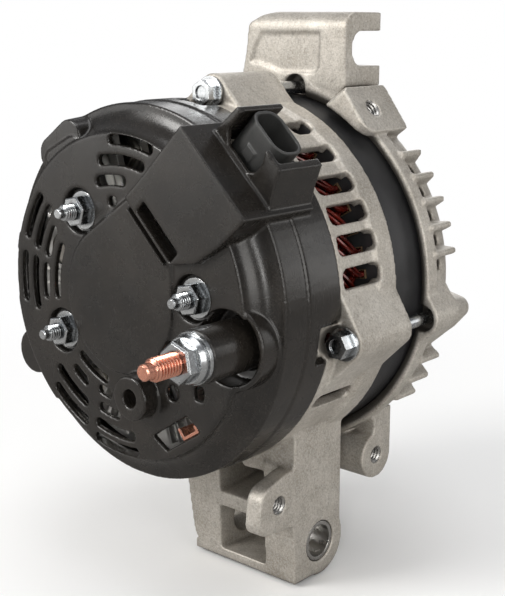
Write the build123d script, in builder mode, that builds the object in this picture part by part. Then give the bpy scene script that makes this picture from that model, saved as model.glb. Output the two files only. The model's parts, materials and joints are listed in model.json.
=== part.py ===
"""Car alternator, millimetres, written as one STEP file per piece.

The shaft axis is the Y axis: -Y is the rear (terminal) end, +Y the front (drive,
pulley) end, +Z is up.  The origin lies on the shaft axis in the plane where the
rear frame's rim stops.  Angles are in degrees about the shaft, from +X towards +Z.

Outlines are listed as (x, z) on rear planes, (y, z) on side planes,
(y, tangential) on radial planes and (radius, y) for revolved profiles.
"""
from build123d import *
import os
from math import cos, sin, radians, degrees
from typing import NamedTuple


class Bearing(NamedTuple):
    """Ball bearing on the shaft axis."""
    rear_y: float
    front_y: float
    bore_r: float
    outer_r: float
    ball_r: float
    pitch_r: float
    ball_count: int


# ---------------------------------------------------------------- shared dimensions
CLR = 0.02                      # gap between seated pieces
M6_R, M8_R = 3.0, 4.0           # thread outside radii
M8_TAP_R = 3.4                  # tapped hole for M8

# Stator core and its slots
CORE_R, CORE_Y0, CORE_Y1 = 68.0, -8.5, 24.3
CORE_LENGTH = CORE_Y1 - CORE_Y0
BORE_R = 51.9
SLOTS = 48
SLOT_W, SLOT_R0, SLOT_R1 = 3.4, 52.9, 63.0
SLOT_DEPTH = SLOT_R1 - SLOT_R0
SLOT_MID_R = (SLOT_R0 + SLOT_R1) / 2

# Through bolts that clamp the two frames together
BOLT_R = 71.5                   # pitch radius
BOLT_ANGLES = (-9.3, 83.0, 174.7, 264.7)
SHANK_R = 2.5
BOLT_SEAT_Y = -31.0             # face under the bolt heads

# Studs that hold the rectifier and cover
STUD_PCR, STUD_ANGLES = 36.0, (125.0, 207.5, 9.0)
B_PLUS = (51.0, -8.5)           # B+ terminal axis

# Rectifier
LEAD_ANGLES = (131, 167, 200, 234, 272, 308)        # stator leads and positive diodes
NEG_ANGLES = (112, 149, 183.5, 217, 253, 290)       # negative diodes
LEAD_PCR, NEG_DIODE_PCR, POS_DIODE_PCR = 57.0, 52.0, 47.0
DIODE_R = 6.4

# Bearings and the screws of the front bearing's retainer
FRONT_BEARING = Bearing(38.5, 52.5, 8.5, 23.5, 4.4, 16.0, 7)
REAR_BEARING = Bearing(-42.0, -31.0, 7.5, 17.5, 2.98, 12.5, 8)
RETAINER_PCR, RETAINER_SCREWS, SCREW_R = 28.0, 4, 2.0

# Mounting points
FACE_X = 47.5                   # machined +X face of the lower bracket
PIVOT = (-13.9, -97.2)          # lower mounting bore, (y, z)
SLEEVE_R, SLEEVE_BORE_R = 8.0, 6.3

os.makedirs("parts", exist_ok=True)


# ---------------------------------------------------------------- helpers
def rear(y):
    """Plane across the shaft at y, local x = X, local y = Z, normal -Y."""
    return Plane(origin=(0, y, 0), x_dir=(1, 0, 0), z_dir=(0, -1, 0))


def rear_at(y, angle, radius=0.0):
    """As rear(y), moved to (radius, angle) and turned so local x is radial."""
    c, s = cos(radians(angle)), sin(radians(angle))
    return Plane(origin=(radius * c, y, radius * s), x_dir=(c, 0, s), z_dir=(0, -1, 0))


def radial(angle, radius, y=0.0):
    """Plane facing outward at an angle, local x = Y, local y = tangential."""
    c, s = cos(radians(angle)), sin(radians(angle))
    return Plane(origin=(radius * c, y, radius * s), x_dir=(0, 1, 0), z_dir=(c, 0, s))


def side(x):
    """Plane facing +X at x, local x = Y, local y = Z."""
    return Plane(origin=(x, 0, 0), x_dir=(0, 1, 0), z_dir=(1, 0, 0))


def polar(radius, angle):
    return (radius * cos(radians(angle)), radius * sin(radians(angle)))


def polars(radius, angles):
    return [polar(radius, angle) for angle in angles]


def diag(along, across):
    """Point given along the 45 degree direction and across it."""
    return ((along - across) * 0.70711, (along + across) * 0.70711)


def outline(*points):
    """Polygon through the points, placed where they say."""
    Polygon(*points, align=None)


def outline45(*points):
    """Polygon through (along, across) points of the 45 degree direction."""
    outline(*[diag(*point) for point in points])


def sector(inner_r, outer_r, start, end):
    """Annular sector between two radii and two angles."""
    with BuildSketch() as sketch:
        with BuildLine():
            CenterArc((0, 0), outer_r, start, end - start)
            Line(polar(outer_r, end), polar(inner_r, end))
            CenterArc((0, 0), inner_r, end, start - end)
            Line(polar(inner_r, start), polar(outer_r, start))
        make_face()
    return sketch.sketch


def arc_slot(radius, start, end, width):
    """Round-ended slot along a radius, its tips at the two angles."""
    cap = degrees(width / 2 / radius)
    with BuildSketch() as sketch:
        add(sector(radius - width / 2, radius + width / 2, start + cap, end - cap))
        with Locations(polar(radius, start + cap), polar(radius, end - cap)):
            Circle(width / 2)
    return sketch.sketch


def save(part, name):
    part.label = name
    export_step(part, "parts/" + name + ".step")


def turned_piece(name, *profiles):
    """Piece revolved from polygons of (radius, y) points."""
    with BuildPart() as piece:
        with BuildSketch(Plane.XY):
            for profile in profiles:
                outline(*profile)
        revolve(axis=Axis.Y)
    save(piece.part, name)


def ring_piece(name, centres, hole_r, *layers):
    """Rings along Y at each centre; layers are (start y, outer radius, length towards -Y)."""
    with BuildPart() as piece:
        for start_y, outer_r, length in layers:
            with BuildSketch(rear(start_y)):
                with Locations(*centres):
                    Circle(outer_r)
                    Circle(hole_r, mode=Mode.SUBTRACT)
            extrude(amount=length)
    save(piece.part, name)


STUD_XZ = polars(STUD_PCR, STUD_ANGLES)
LEAD_XZ = polars(LEAD_PCR, LEAD_ANGLES)
NEG_DIODE_XZ = polars(NEG_DIODE_PCR, NEG_ANGLES)
POS_DIODE_XZ = polars(POS_DIODE_PCR, LEAD_ANGLES)

# ---------------------------------------------------------------- rear cover
COVER_R, COVER_Y, COVER_T = 68.9, -70.0, 2.4
COVER_INNER_Y = COVER_Y + COVER_T
COVER_FRONT_Y = -36
PLATFORM_Y = -74.0              # rear face of the regulator platform
PLATFORM_T = 2.3
NUT_SEAT_Y = -66.6
STUD_HOLE_R = 3.2
BOSS_XZ = (10.9, -32.9)

# Cooling slots: radius, start angle, end angle, width
COVER_SLOTS = (
    (59.7, 143, 163, 3.2), (53.4, 141, 162, 3.4), (47.1, 141, 164, 3.4), (40.8, 147, 165, 3.4),
    (59.7, 168, 188, 3.2), (53.4, 168, 189, 3.4), (47.1, 168, 193, 3.4), (40.8, 169, 188, 3.4),
    (34.4, 152, 188, 3.2),
    (32.4, 226, 257, 3.2), (39.4, 228, 242, 3.2), (47.0, 221, 246, 3.6), (53.6, 226, 249, 3.6),
    (58.9, 230, 251, 2.8),
    (37.2, 250, 261, 3.4), (43.8, 253, 268, 3.4), (50.5, 253, 277, 3.6), (56.4, 254, 278, 3.4),
    (56.3, 71.5, 94, 3.6), (49.3, 74, 101, 3.6), (42.2, 84, 105, 3.6), (34.8, 91, 98, 3.4),
)
# Slit beside the central disc: radius, angle
DISC_SLIT = ((29.6, -24), (26.4, -24), (26.0, -34), (26.2, -46), (27.2, -58), (28.0, -58),
             (29.4, -46), (30.0, -34))

with BuildPart() as cover:
    # domed shell: flat rear face, rounded corner, straight skirt with a lip
    with BuildSketch(Plane.XY):
        with BuildLine():
            Polyline((0, COVER_FRONT_Y), (0, COVER_Y), (58.6, COVER_Y))
            RadiusArc((58.6, COVER_Y), (68.4, -60.2), 9.8, short_sagitta=True)
            Polyline((68.4, -60.2), (68.4, -49.6), (67.9, -49.2), (COVER_R, -48.4),
                     (COVER_R, COVER_FRONT_Y), (0, COVER_FRONT_Y))
        make_face()
    revolve(axis=Axis.Y)
    # the lip reaches further forward beside the connector
    with BuildSketch(rear(-31.5)):
        with BuildLine():
            Polyline(polar(60, -3), polar(COVER_R, -3))
            CenterArc((0, 0), COVER_R, -3, 56)
            Polyline(polar(COVER_R, 53), polar(60, 53), polar(60, -3))
        make_face()
    extrude(amount=6)
    # regulator platform, a flat-sided block turned 45 degrees
    with BuildSketch(rear(-60)):
        outline45((31.9, -8.2), (42, -15.5), (55, -18.6), (69.4, -19.5), (69.4, 20.0),
                  (44.7, 20.3), (31.9, 21.0))
    extrude(amount=-(PLATFORM_Y + 60))
    with BuildSketch(rear(-39)):
        outline45((50, -18.6), (69.4, -19.5), (69.4, 20.0), (50, 20.0))
    extrude(amount=24)
    # connector hood, standing out from the platform's outer wall
    with BuildSketch(rear(-38.5)):
        outline45((55, -18.0), (69.4, -17.4), (73.5, -14.6), (81.6, -11.0), (82.5, 15.3),
                  (69.4, 16.6), (55, 17.4))
    extrude(amount=22)
    # stepped bulge above the axis on the -X side
    with BuildSketch(rear(-38)):
        with Locations((-27.5, 55.4), (-37.5, 48.5)):
            Circle(9.0)
        with Locations((-23.0, 41.0)):
            Circle(8.0)
        make_hull()
    extrude(amount=30, taper=5.5)
    with BuildSketch(rear(-48)):
        with Locations((-25.0, 50.5)):
            Circle(14.5)
        with Locations((-36.5, 46.5)):
            Circle(13.0)
        with Locations((-16.5, 42.0)):
            Circle(12.5)
        make_hull()
    extrude(amount=20.6, taper=25)
    # round bulge below the axis on the -X side
    with BuildSketch(rear(-36.5)):
        with Locations((-55.0, -30.0)):
            Circle(12.8)
    extrude(amount=29.3, taper=8)
    # central disc with a blunt point towards the platform
    with BuildSketch(rear(-69)):
        Circle(27.2)
        with Locations((6.4, 35.6), (25.6, 16.4)):
            Circle(1.4)
        make_hull()
    extrude(amount=2.2, taper=12)
    # bead along the disc's platform edge
    with BuildSketch(rear(COVER_Y)):
        with Locations(Location(diag(29.3, 5.8), 45)):
            SlotOverall(25.6, 1.9, rotation=90)
    extrude(amount=3.4, taper=8)
    # hollow of the shell
    with BuildSketch(Plane.XY):
        with BuildLine():
            Polyline((0, -30), (0, COVER_INNER_Y), (57.8, COVER_INNER_Y))
            RadiusArc((57.8, COVER_INNER_Y), (66.3, -59.2), 8.4, short_sagitta=True)
            Polyline((66.3, -59.2), (66.3, -30), (0, -30))
        make_face()
    revolve(axis=Axis.Y, mode=Mode.SUBTRACT)
    # hollow of the platform
    with BuildSketch(rear(-66)):
        outline45((33, -4.5), (42.6, -13), (55, -16.2), (67.0, -17.1), (67.0, 17.6), (33, 18.6))
    extrude(amount=-(PLATFORM_Y + 66) - PLATFORM_T, mode=Mode.SUBTRACT)
    with BuildSketch(rear(-38.4)):
        outline45((48, -16.2), (67.0, -17.1), (67.0, 17.6), (48, 17.6))
    extrude(amount=28.5, mode=Mode.SUBTRACT)
    # hollow of the hood, then the window in its rear wall
    with BuildSketch(rear(-36)):
        outline45((60, -13), (69.4, -12.4), (90, -5.2), (90, 13.0), (60, 14.1))
    extrude(amount=22.4, mode=Mode.SUBTRACT)
    with BuildSketch(rear(-50)):
        outline45((73.2, -4.6), (70.6, -2.2), (70.6, 9.5), (74.0, 12.8), (90, 12.8),
                  (90, -1.0), (83.5, -1.6), (77.5, -4.6))
    extrude(amount=20, mode=Mode.SUBTRACT)
    # hollows of the two bulges
    with BuildSketch(rear(-36)):
        with Locations((-27.5, 54.4), (-37.0, 48.0)):
            Circle(6.8)
        with Locations((-23.0, 41.0)):
            Circle(5.8)
        make_hull()
    extrude(amount=29.4, taper=5.5, mode=Mode.SUBTRACT)
    with BuildSketch(rear(-36)):
        with Locations((-55.0, -30.0)):
            Circle(10.6)
    extrude(amount=26.8, taper=8, mode=Mode.SUBTRACT)
    # wall round the B+ bush, then seats and holes for the three stud nuts
    with BuildSketch(rear(-57.6)):
        with Locations(B_PLUS):
            Circle(15.0)
    extrude(amount=11.2)
    with BuildSketch(rear(-64.0)):
        with Locations(*STUD_XZ):
            Circle(10.2)
    extrude(amount=5.5)
    with BuildSketch(rear(NUT_SEAT_Y)):
        with Locations(*STUD_XZ):
            Circle(8.3)
    extrude(amount=12, mode=Mode.SUBTRACT)
    with BuildSketch(rear(-60)):
        with Locations(*STUD_XZ):
            Circle(STUD_HOLE_R)
    extrude(amount=12, mode=Mode.SUBTRACT)
    # sunken seat and hole for the B+ bush
    for start_y, radius in ((-60.0, 13.0), (-50, 9.35)):
        with BuildSketch(rear(start_y)):
            with Locations(B_PLUS):
                Circle(radius)
        extrude(amount=20, mode=Mode.SUBTRACT)
    # cooling slots
    with BuildSketch(rear(-58)):
        for radius, start, end, width in COVER_SLOTS:
            add(arc_slot(radius, start, end, width))
    extrude(amount=20, mode=Mode.SUBTRACT)
    # other openings: slit beside the disc, straight slot near the -X edge, slot along
    # the platform, window over the terminal clip, and two small holes
    with BuildSketch(rear(-60)):
        outline(*[polar(*point) for point in DISC_SLIT])
        with Locations((-53.6, -29.2)):
            Rectangle(3.2, 18.6, rotation=29)
        with Locations(diag(35.8, 2.9)):
            Rectangle(5.2, 22.3, rotation=45)
        outline((15.4, -47.3), (32.1, -36.2), (38.8, -40.7), (22.2, -51.4))
        with Locations((25.6, -29.4)):
            Circle(2.9)
        with Locations((38.2, -27.0)):
            RectangleRounded(4.6, 5.4, 1.4)
    extrude(amount=20, mode=Mode.SUBTRACT)
    # hollow boss at the disc's lower edge
    with BuildSketch(rear(-67.65)):
        with Locations(BOSS_XZ):
            Circle(8.4)
    extrude(amount=9.2, taper=2)
    with BuildSketch(rear(-60)):
        with Locations(BOSS_XZ):
            Circle(3.3)
    extrude(amount=20, mode=Mode.SUBTRACT)
    # clearance round the through-bolt heads
    for angle in BOLT_ANGLES:
        with BuildSketch(rear_at(-28, angle, BOLT_R)):
            Circle(7.6)
        extrude(amount=14.5, mode=Mode.SUBTRACT)
save(cover.part, "rear_cover")

# ---------------------------------------------------------------- studs and nuts
STUD_FRONT_Y = -37.0
STUD_LENGTH = 40.4

with BuildPart() as studs:
    with BuildSketch(rear(STUD_FRONT_Y)):
        with Locations(*STUD_XZ):
            Circle(M6_R)
    extrude(amount=STUD_LENGTH)
    chamfer(studs.edges().group_by(Axis.Y)[0], 0.8)
    # thin end pin
    with BuildSketch(rear(STUD_FRONT_Y - STUD_LENGTH)):
        with Locations(*STUD_XZ):
            Circle(1.9)
    extrude(amount=2.6)
save(studs.part, "cover_studs")

with BuildPart() as nuts:
    # washer flange, then the hexagon
    with BuildSketch(rear(NUT_SEAT_Y - CLR)):
        with Locations(*STUD_XZ):
            Circle(6.9)
            Circle(M6_R + CLR, mode=Mode.SUBTRACT)
    extrude(amount=1.4)
    with BuildSketch(rear(-68.0)):
        with Locations(*STUD_XZ):
            RegularPolygon(5.0, 6, major_radius=False, rotation=12)
            Circle(M6_R + CLR, mode=Mode.SUBTRACT)
    extrude(amount=5.0)
    chamfer(nuts.edges().group_by(Axis.Y)[0].filter_by(GeomType.LINE), 0.5)
save(nuts.part, "cover_nuts")

# tubes on the studs between the rectifier and the cover
ring_piece("stud_spacers", STUD_XZ, M6_R + 0.1, (-46.05, 5.2, 17.9))

# ---------------------------------------------------------------- B+ terminal
with BuildPart() as terminal_stud:
    # square-headed M8 stud
    with BuildSketch(rear(-49.6)):
        with Locations(B_PLUS):
            Rectangle(12.6, 12.6)
    extrude(amount=4.35)
    with BuildSketch(rear(-53.9)):
        with Locations(B_PLUS):
            Circle(M8_R)
    extrude(amount=50.2)
    chamfer(terminal_stud.edges().group_by(Axis.Y)[0], 1.0)
    # runout groove just outside the nut
    with BuildSketch(rear(-94.35)):
        with Locations(B_PLUS):
            Circle(5.0)
            Circle(3.6, mode=Mode.SUBTRACT)
    extrude(amount=0.6, mode=Mode.SUBTRACT)
    # thinner end
    with BuildSketch(rear(-53.9 - 50.2)):
        with Locations(B_PLUS):
            Circle(2.8)
    extrude(amount=3.6)
    chamfer(terminal_stud.edges().group_by(Axis.Y)[0], 0.5)
save(terminal_stud.part, "b_plus_stud")

with BuildPart() as bush:
    with BuildSketch(rear(-57.02)):
        with Locations(B_PLUS):
            Circle(9.2)
            Circle(M8_R + 0.1, mode=Mode.SUBTRACT)
    extrude(amount=27.98)
    rear_circles = bush.edges().group_by(Axis.Y)[0].filter_by(GeomType.CIRCLE)
    fillet(rear_circles.sort_by(SortBy.RADIUS)[-1], 0.8)
save(bush.part, "b_plus_insulator")

ring_piece("b_plus_washers", [B_PLUS], M8_R + 0.1, (-85.02, 8.7, 1.5), (-86.54, 8.1, 1.2))

with BuildPart() as terminal_nut:
    # conical flange, then the hexagon
    with BuildSketch(rear(-87.76)):
        with Locations(B_PLUS):
            Circle(8.3)
            Circle(M8_R + CLR, mode=Mode.SUBTRACT)
    extrude(amount=1.8, taper=22)
    with BuildSketch(rear(-88.4)):
        with Locations(B_PLUS):
            RegularPolygon(6.2, 6, major_radius=False, rotation=41)
            Circle(M8_R + CLR, mode=Mode.SUBTRACT)
    extrude(amount=5.6)
    chamfer(terminal_nut.edges().group_by(Axis.Y)[0].filter_by(GeomType.LINE), 0.6)
save(terminal_nut.part, "b_plus_nut")

# ---------------------------------------------------------------- regulator and connector
# The connector faces outward at 45 degrees
CONNECTOR_Y, CONNECTOR_ACROSS = -49.5, 3.6
CONNECTOR_FLOOR = 67.5          # distance of the socket floor from the shaft axis
PIN_PITCH = 3.2

with BuildPart() as regulator:
    # electronics box under the platform
    with BuildSketch(rear(-58.0)):
        outline45((40.5, -10.0), (43.5, -12.5), (66.0, -14.5), (66.0, 15.5), (40.5, 15.5))
    extrude(amount=11.0)
    # arm forward to the connector
    with BuildSketch(rear(-43.5)):
        outline45((57, -6.4), (66.0, -6.4), (66.0, 13.4), (57, 13.4))
    extrude(amount=15.0)
    # oval connector shell
    with BuildSketch(radial(45, 64.5)):
        with Locations((CONNECTOR_Y, CONNECTOR_ACROSS)):
            RectangleRounded(13.4, 18.8, 5.2)
    extrude(amount=17.6)
    with BuildSketch(radial(45, CONNECTOR_FLOOR)):
        with Locations((CONNECTOR_Y, CONNECTOR_ACROSS)):
            RectangleRounded(11.0, 16.4, 4.2)
    extrude(amount=20, mode=Mode.SUBTRACT)
    # latch pad on the shell's rear side
    latch_x, latch_z = diag(72.4, CONNECTOR_ACROSS)
    with BuildSketch(Plane(origin=(latch_x, CONNECTOR_Y - 6.6, latch_z),
                           x_dir=(1, 0, 1), z_dir=(0, -1, 0))):
        Rectangle(4.4, 4.6)
    extrude(amount=0.6)
save(regulator.part, "regulator")

pin_places = [(CONNECTOR_Y - 1.6, CONNECTOR_ACROSS + PIN_PITCH * step)
              for step in (-1.5, -0.5, 0.5, 1.5)]
with BuildPart() as pins:
    with BuildSketch(radial(45, CONNECTOR_FLOOR + CLR)):
        with Locations(*pin_places):
            Rectangle(0.8, 1.6)
    extrude(amount=9.0)
    chamfer(pins.faces().sort_by(Axis((0, 0, 0), (1, 0, 1)))[-4:].edges(), 0.2)
save(pins.part, "connector_pins")

# ---------------------------------------------------------------- brush gear
BRUSH_YS = {"rear": -58.5, "front": -50.5}      # brush centre planes on the slip rings
SPRING_R, SPRING_WIRE_R = 1.75, 0.28

with BuildPart() as holder:
    with BuildSketch(rear(-46.5)):
        outline45((9.6, -5.2), (40.3, -5.2), (40.3, 5.2), (9.6, 5.2))
    extrude(amount=16.0)
    for brush_y in BRUSH_YS.values():
        with BuildSketch(radial(45, 5.0)):
            with Locations((brush_y, 0)):
                Rectangle(5.1, 6.6)
        extrude(amount=33.5, mode=Mode.SUBTRACT)
    # crosspiece, which fills the channels, so they are opened again
    with BuildSketch(radial(45, 11.0)):
        with Locations((-54.5, 0)):
            Rectangle(4.0, 22.0)
    extrude(amount=6.0)
    with BuildSketch(radial(45, 5.0)):
        with Locations(*[(brush_y, 0) for brush_y in BRUSH_YS.values()]):
            Rectangle(5.1, 6.6)
    extrude(amount=33.5, mode=Mode.SUBTRACT)
save(holder.part, "brush_holder")

for end_name, brush_y in BRUSH_YS.items():
    with BuildPart() as brush:
        with BuildSketch(radial(45, 7.68)):
            with Locations((brush_y, 0)):
                Rectangle(4.9, 6.4)
        extrude(amount=14.0)
        # concave end that follows the ring
        with BuildSketch(rear(brush_y + 6)):
            Circle(7.66)
        extrude(amount=12, mode=Mode.SUBTRACT)
    save(brush.part, "brush_" + end_name)

    # spring wound along Z, then moved behind its brush
    with BuildPart() as spring:
        with BuildLine():
            Helix(pitch=2.6, height=15.6, radius=SPRING_R, center=(0, 0, 0), direction=(0, 0, 1))
        with BuildSketch(Plane(origin=(SPRING_R, 0, 0), x_dir=(1, 0, 0), z_dir=(0, 1, 0.236))):
            Circle(SPRING_WIRE_R)
        sweep(is_frenet=True)
    save(radial(45, 22.1, brush_y).from_local_coords(spring.part), "brush_spring_" + end_name)

# ---------------------------------------------------------------- rectifier
with BuildPart() as negative_plate:
    with BuildSketch(rear(-42.55)):
        add(sector(25.0, 61.0, 104, 344))
        with Locations(*STUD_XZ[:2]):
            Circle(STUD_HOLE_R, mode=Mode.SUBTRACT)
        with Locations(*NEG_DIODE_XZ):
            Circle(DIODE_R + CLR, mode=Mode.SUBTRACT)
        with Locations(*LEAD_XZ):
            Circle(2.6, mode=Mode.SUBTRACT)
    extrude(amount=3.45)
save(negative_plate.part, "rectifier_negative_plate")

# ribs stand every 6 degrees, except near a diode or a stud
plate_rib_angles = [angle for angle in range(112, 324, 6)
                    if min(abs(angle - diode) for diode in LEAD_ANGLES) > 9
                    and min(abs(angle - stud) for stud in STUD_ANGLES[:2]) > 10]
with BuildPart() as positive_plate:
    with BuildSketch(rear(-54.0)):
        add(sector(27.0, 59.5, 106, 357))
        with Locations(*STUD_XZ):
            Circle(6.6, mode=Mode.SUBTRACT)
        with Locations(*POS_DIODE_XZ):
            Circle(DIODE_R + CLR, mode=Mode.SUBTRACT)
        with Locations(B_PLUS):
            Circle(M8_R + 0.1, mode=Mode.SUBTRACT)
    extrude(amount=3.0)
    with BuildSketch(rear(-56.9)):
        for angle in plate_rib_angles:
            with Locations(Location(polar(44.0, angle), angle)):
                Rectangle(22.0, 1.4)
    extrude(amount=4.0)
save(positive_plate.part, "rectifier_positive_plate")


def diode_set(name, centres, *layers):
    """Diodes stacked from cylinders; layers are (start y, radius, length towards -Y)."""
    with BuildPart() as diodes:
        for start_y, radius, length in layers:
            with BuildSketch(rear(start_y)):
                with Locations(*centres):
                    Circle(radius)
            extrude(amount=length)
    save(diodes.part, name)


diode_set("negative_diodes", NEG_DIODE_XZ,
          (-42.6, DIODE_R, 5.6), (-48.2, 4.6, 1.2), (-49.4, 0.75, 3.8))
diode_set("positive_diodes", POS_DIODE_XZ, (-50.6, DIODE_R, 5.6), (-56.2, 4.6, 1.2))

with BuildPart() as lead_strips:
    # copper strips from the stator leads to the diodes
    with BuildSketch(rear(-49.42)):
        for angle in LEAD_ANGLES:
            with Locations(Location(polar(51.5, angle), angle)):
                Rectangle(14.0, 4.4)
            with Locations(polar(LEAD_PCR, angle)):
                Circle(2.7)
                Circle(1.3, mode=Mode.SUBTRACT)
    extrude(amount=1.1)
save(lead_strips.part, "diode_leads")

with BuildPart() as clip:
    # upright copper terminal behind the cover's window
    with BuildSketch(rear(-57.02)):
        outline((26.5, -42.6), (29.6, -46.1), (36.9, -41.45), (35.1, -38.9), (34.1, -39.7),
                (35.2, -41.1), (29.9, -44.6), (27.5, -41.95))
    extrude(amount=11.6)
save(clip.part, "output_terminal_clip")

with BuildPart() as block:
    # moulded insulator between the two heat sinks
    with BuildSketch(rear(-46.04)):
        add(sector(27.5, 33.5, 108, 340))
        with Locations(*STUD_XZ[:2]):
            Circle(5.5, mode=Mode.SUBTRACT)
    extrude(amount=7.9)
save(block.part, "terminal_block")

# ---------------------------------------------------------------- rear frame
RIM_R = 70.0
WALL_R = 68.5
WEB_X = 33.0                    # inner face of the bracket's thick web
TAB = (-38.0, -75.1)            # tapped hole of the tab, (y, z)

# Start and end angle of each bolt ear's flanks, in the order of BOLT_ANGLES
REAR_EAR_FLANKS = ((-25, 4.2), (69.5, 93), (163, 185), (253, 274))
SIDE_WINDOW_ANGLES = (8.2, 18.0, 27.2, 36.6, 47.4, 59.2,
                      98.5, 108.1, 117.7, 127.3, 136.9, 146.5, 156.1,
                      190, 199.6, 209.2, 218.8, 228.4, 238.0, 247.6)
SHORT_WINDOW_ANGLE = 59.2
# Spokes between the air inlets round the bearing
SPOKE_ANGLES = (9.0, 47.0, 86.0, 125.0, 166.0, 207.5, 248.0, 288.0, 328.0)
SPOKE_HALF_ANGLE = 9.3

with BuildPart() as rear_frame:
    with BuildSketch(Plane.XY):
        outline((0, 0), (RIM_R, 0), (RIM_R, -9.6), (WALL_R, -11.4), (WALL_R, -35.4),
                (66.1, -35.5), (66.1, -38.0), (22.0, -38.0), (21.4, -44.0), (0, -44.0))
    revolve(axis=Axis.Y)
    # ears for the through bolts, with straight tangential flanks
    for angle, (start, end) in zip(BOLT_ANGLES, REAR_EAR_FLANKS):
        with BuildSketch(rear(0)):
            with Locations(polar(BOLT_R, angle)):
                Circle(6.7)
            with Locations(polar(67.6, start), polar(67.6, end)):
                Circle(0.9)
            make_hull()
        extrude(amount=-BOLT_SEAT_Y)
    # lower mounting bracket: thick web on the +X side
    with BuildSketch(side(WEB_X)):
        with BuildLine():
            Polyline((-1.5, -50), (-1.5, -86), (-1.2, -92.5))
            ThreePointArc((-1.2, -92.5), (-4.2, -107.0), (-18.5, -109.9))
            Polyline((-18.5, -109.9), (-28.8, -109.9), (-30.0, -87.6), (-30.5, -64.5),
                     (-24.0, -50), (-1.5, -50))
        make_face()
    extrude(amount=FACE_X - WEB_X)
    # tab that reaches rearward
    with BuildSketch(side(40.5)):
        with BuildLine():
            Polyline((-6, -61.4), (-34.4, -64.1), (-44.2, -66.8))
            ThreePointArc((-44.2, -66.8), (-47.2, -69.2), (-48.4, -72.6))
            Polyline((-48.4, -72.6), (-49.2, -79.6))
            ThreePointArc((-49.2, -79.6), (-48.6, -82.8), (-46.0, -84.6))
            Polyline((-46.0, -84.6), (-29.0, -86.1), (-6, -80), (-6, -61.4))
        make_face()
    extrude(amount=FACE_X - 40.5)
    # web on the -X side
    with BuildSketch(rear(-1.5)):
        outline((-16.5, -64), (-8.2, -81), (-6.7, -91), (-4.6, -103), (-1.4, -107.8),
                (1.0, -109.9), (10.0, -109.9), (8.5, -66))
    extrude(amount=27.3)
    # upper and lower tie bars between the webs
    with BuildSketch(side(-4.0)):
        outline((-28.8, -82.4), (-3.0, -80.0), (-3.0, -88.4), (-28.8, -88.4))
        outline((-28.8, -106.2), (-8, -106.2), (-8, -109.9), (-28.8, -109.9))
    extrude(amount=38.0)
    # barrels round the pivot bore, one on each web
    for start_x, length in ((-6.0, 14.0), (WEB_X, FACE_X - WEB_X)):
        with BuildSketch(side(start_x)):
            with Locations(PIVOT):
                Circle(12.7)
        extrude(amount=length)
    # wall that closes the front of the pocket between the webs, and the gusset above it
    with BuildSketch(rear(-1.6)):
        outline((0, -64), (40, -58), (40, -109.8), (0, -109.8))
    extrude(amount=4.4)
    with BuildSketch(rear(-1.6)):
        outline((12, -60), (FACE_X, -44), (FACE_X, -68.0), (36.0, -68.0), (23.0, -68.6))
    extrude(amount=28.0)
    # register for the core, then the space for fan and winding
    with BuildSketch(Plane.XY):
        outline((0, 1), (CORE_R + CLR, 1), (CORE_R + CLR, CORE_Y0 - CLR), (64.6, CORE_Y0 - CLR),
                (64.6, -32.6), (63.7, -33.5), (22.0, -33.5), (21.0, -30.0), (0, -30.0))
    revolve(axis=Axis.Y, mode=Mode.SUBTRACT)
    # bearing seat
    seat_r, seat_y = REAR_BEARING.outer_r + CLR, REAR_BEARING.rear_y - CLR
    with BuildSketch(Plane.XY):
        outline((0, -25), (seat_r, -25), (seat_r, seat_y), (13.5, seat_y), (13.5, -50), (0, -50))
    revolve(axis=Axis.Y, mode=Mode.SUBTRACT)
    # posts that carry the rectifier, one of them taller
    with BuildSketch(rear(-37.5)):
        with Locations(*STUD_XZ):
            Circle(5.6)
    extrude(amount=5.0)
    with BuildSketch(rear(-42.0)):
        with Locations(STUD_XZ[2]):
            Circle(5.2)
    extrude(amount=4.0)
    with BuildSketch(rear(STUD_FRONT_Y + CLR)):
        with Locations(*STUD_XZ):
            Circle(M6_R + CLR)
    extrude(amount=12.0, mode=Mode.SUBTRACT)
    # room for the cover lip
    with BuildSketch(rear(-31.2)):
        add(sector(66.1, 74.5, -3.8, 54.0))
    extrude(amount=8, mode=Mode.SUBTRACT)
    # side windows
    for angle in SIDE_WINDOW_ANGLES:
        window_y, length = (-13.6, 9.8) if angle == SHORT_WINDOW_ANGLE else (-18.8, 20.0)
        with BuildSketch(radial(angle, 62.0)):
            with Locations((window_y, 0)):
                RectangleRounded(length, 7.3, 2.4)
        extrude(amount=12, mode=Mode.SUBTRACT)
    with BuildSketch(radial(-31.0, 58.0)):
        with Locations((-22.0, 0)):
            RectangleRounded(21.0, 6.0, 2.5)
    extrude(amount=15, mode=Mode.SUBTRACT)
    # air inlets round the bearing
    with BuildSketch(rear(-30)):
        for spoke, following in zip(SPOKE_ANGLES, SPOKE_ANGLES[1:] + (SPOKE_ANGLES[0] + 360,)):
            add(sector(26.0, 51.0, spoke + SPOKE_HALF_ANGLE, following - SPOKE_HALF_ANGLE))
    extrude(amount=12, mode=Mode.SUBTRACT)
    # holes for the stator leads
    with BuildSketch(rear(-30)):
        with Locations(*LEAD_XZ):
            Circle(3.0)
    extrude(amount=12, mode=Mode.SUBTRACT)
    # through-bolt holes and the faces under their heads
    for angle in BOLT_ANGLES:
        with BuildSketch(rear_at(2, angle, BOLT_R)):
            Circle(SHANK_R + 0.15)
        extrude(amount=40, mode=Mode.SUBTRACT)
        with BuildSketch(rear_at(BOLT_SEAT_Y, angle, BOLT_R)):
            Circle(7.0)
        extrude(amount=8, mode=Mode.SUBTRACT)
    # pivot bore with a wider seat for the sleeve
    for start_x, radius, length in ((-20, 6.5, 80), (28.0, SLEEVE_R + 0.05, 32)):
        with BuildSketch(side(start_x)):
            with Locations(PIVOT):
                Circle(radius)
        extrude(amount=length, mode=Mode.SUBTRACT)
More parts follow.
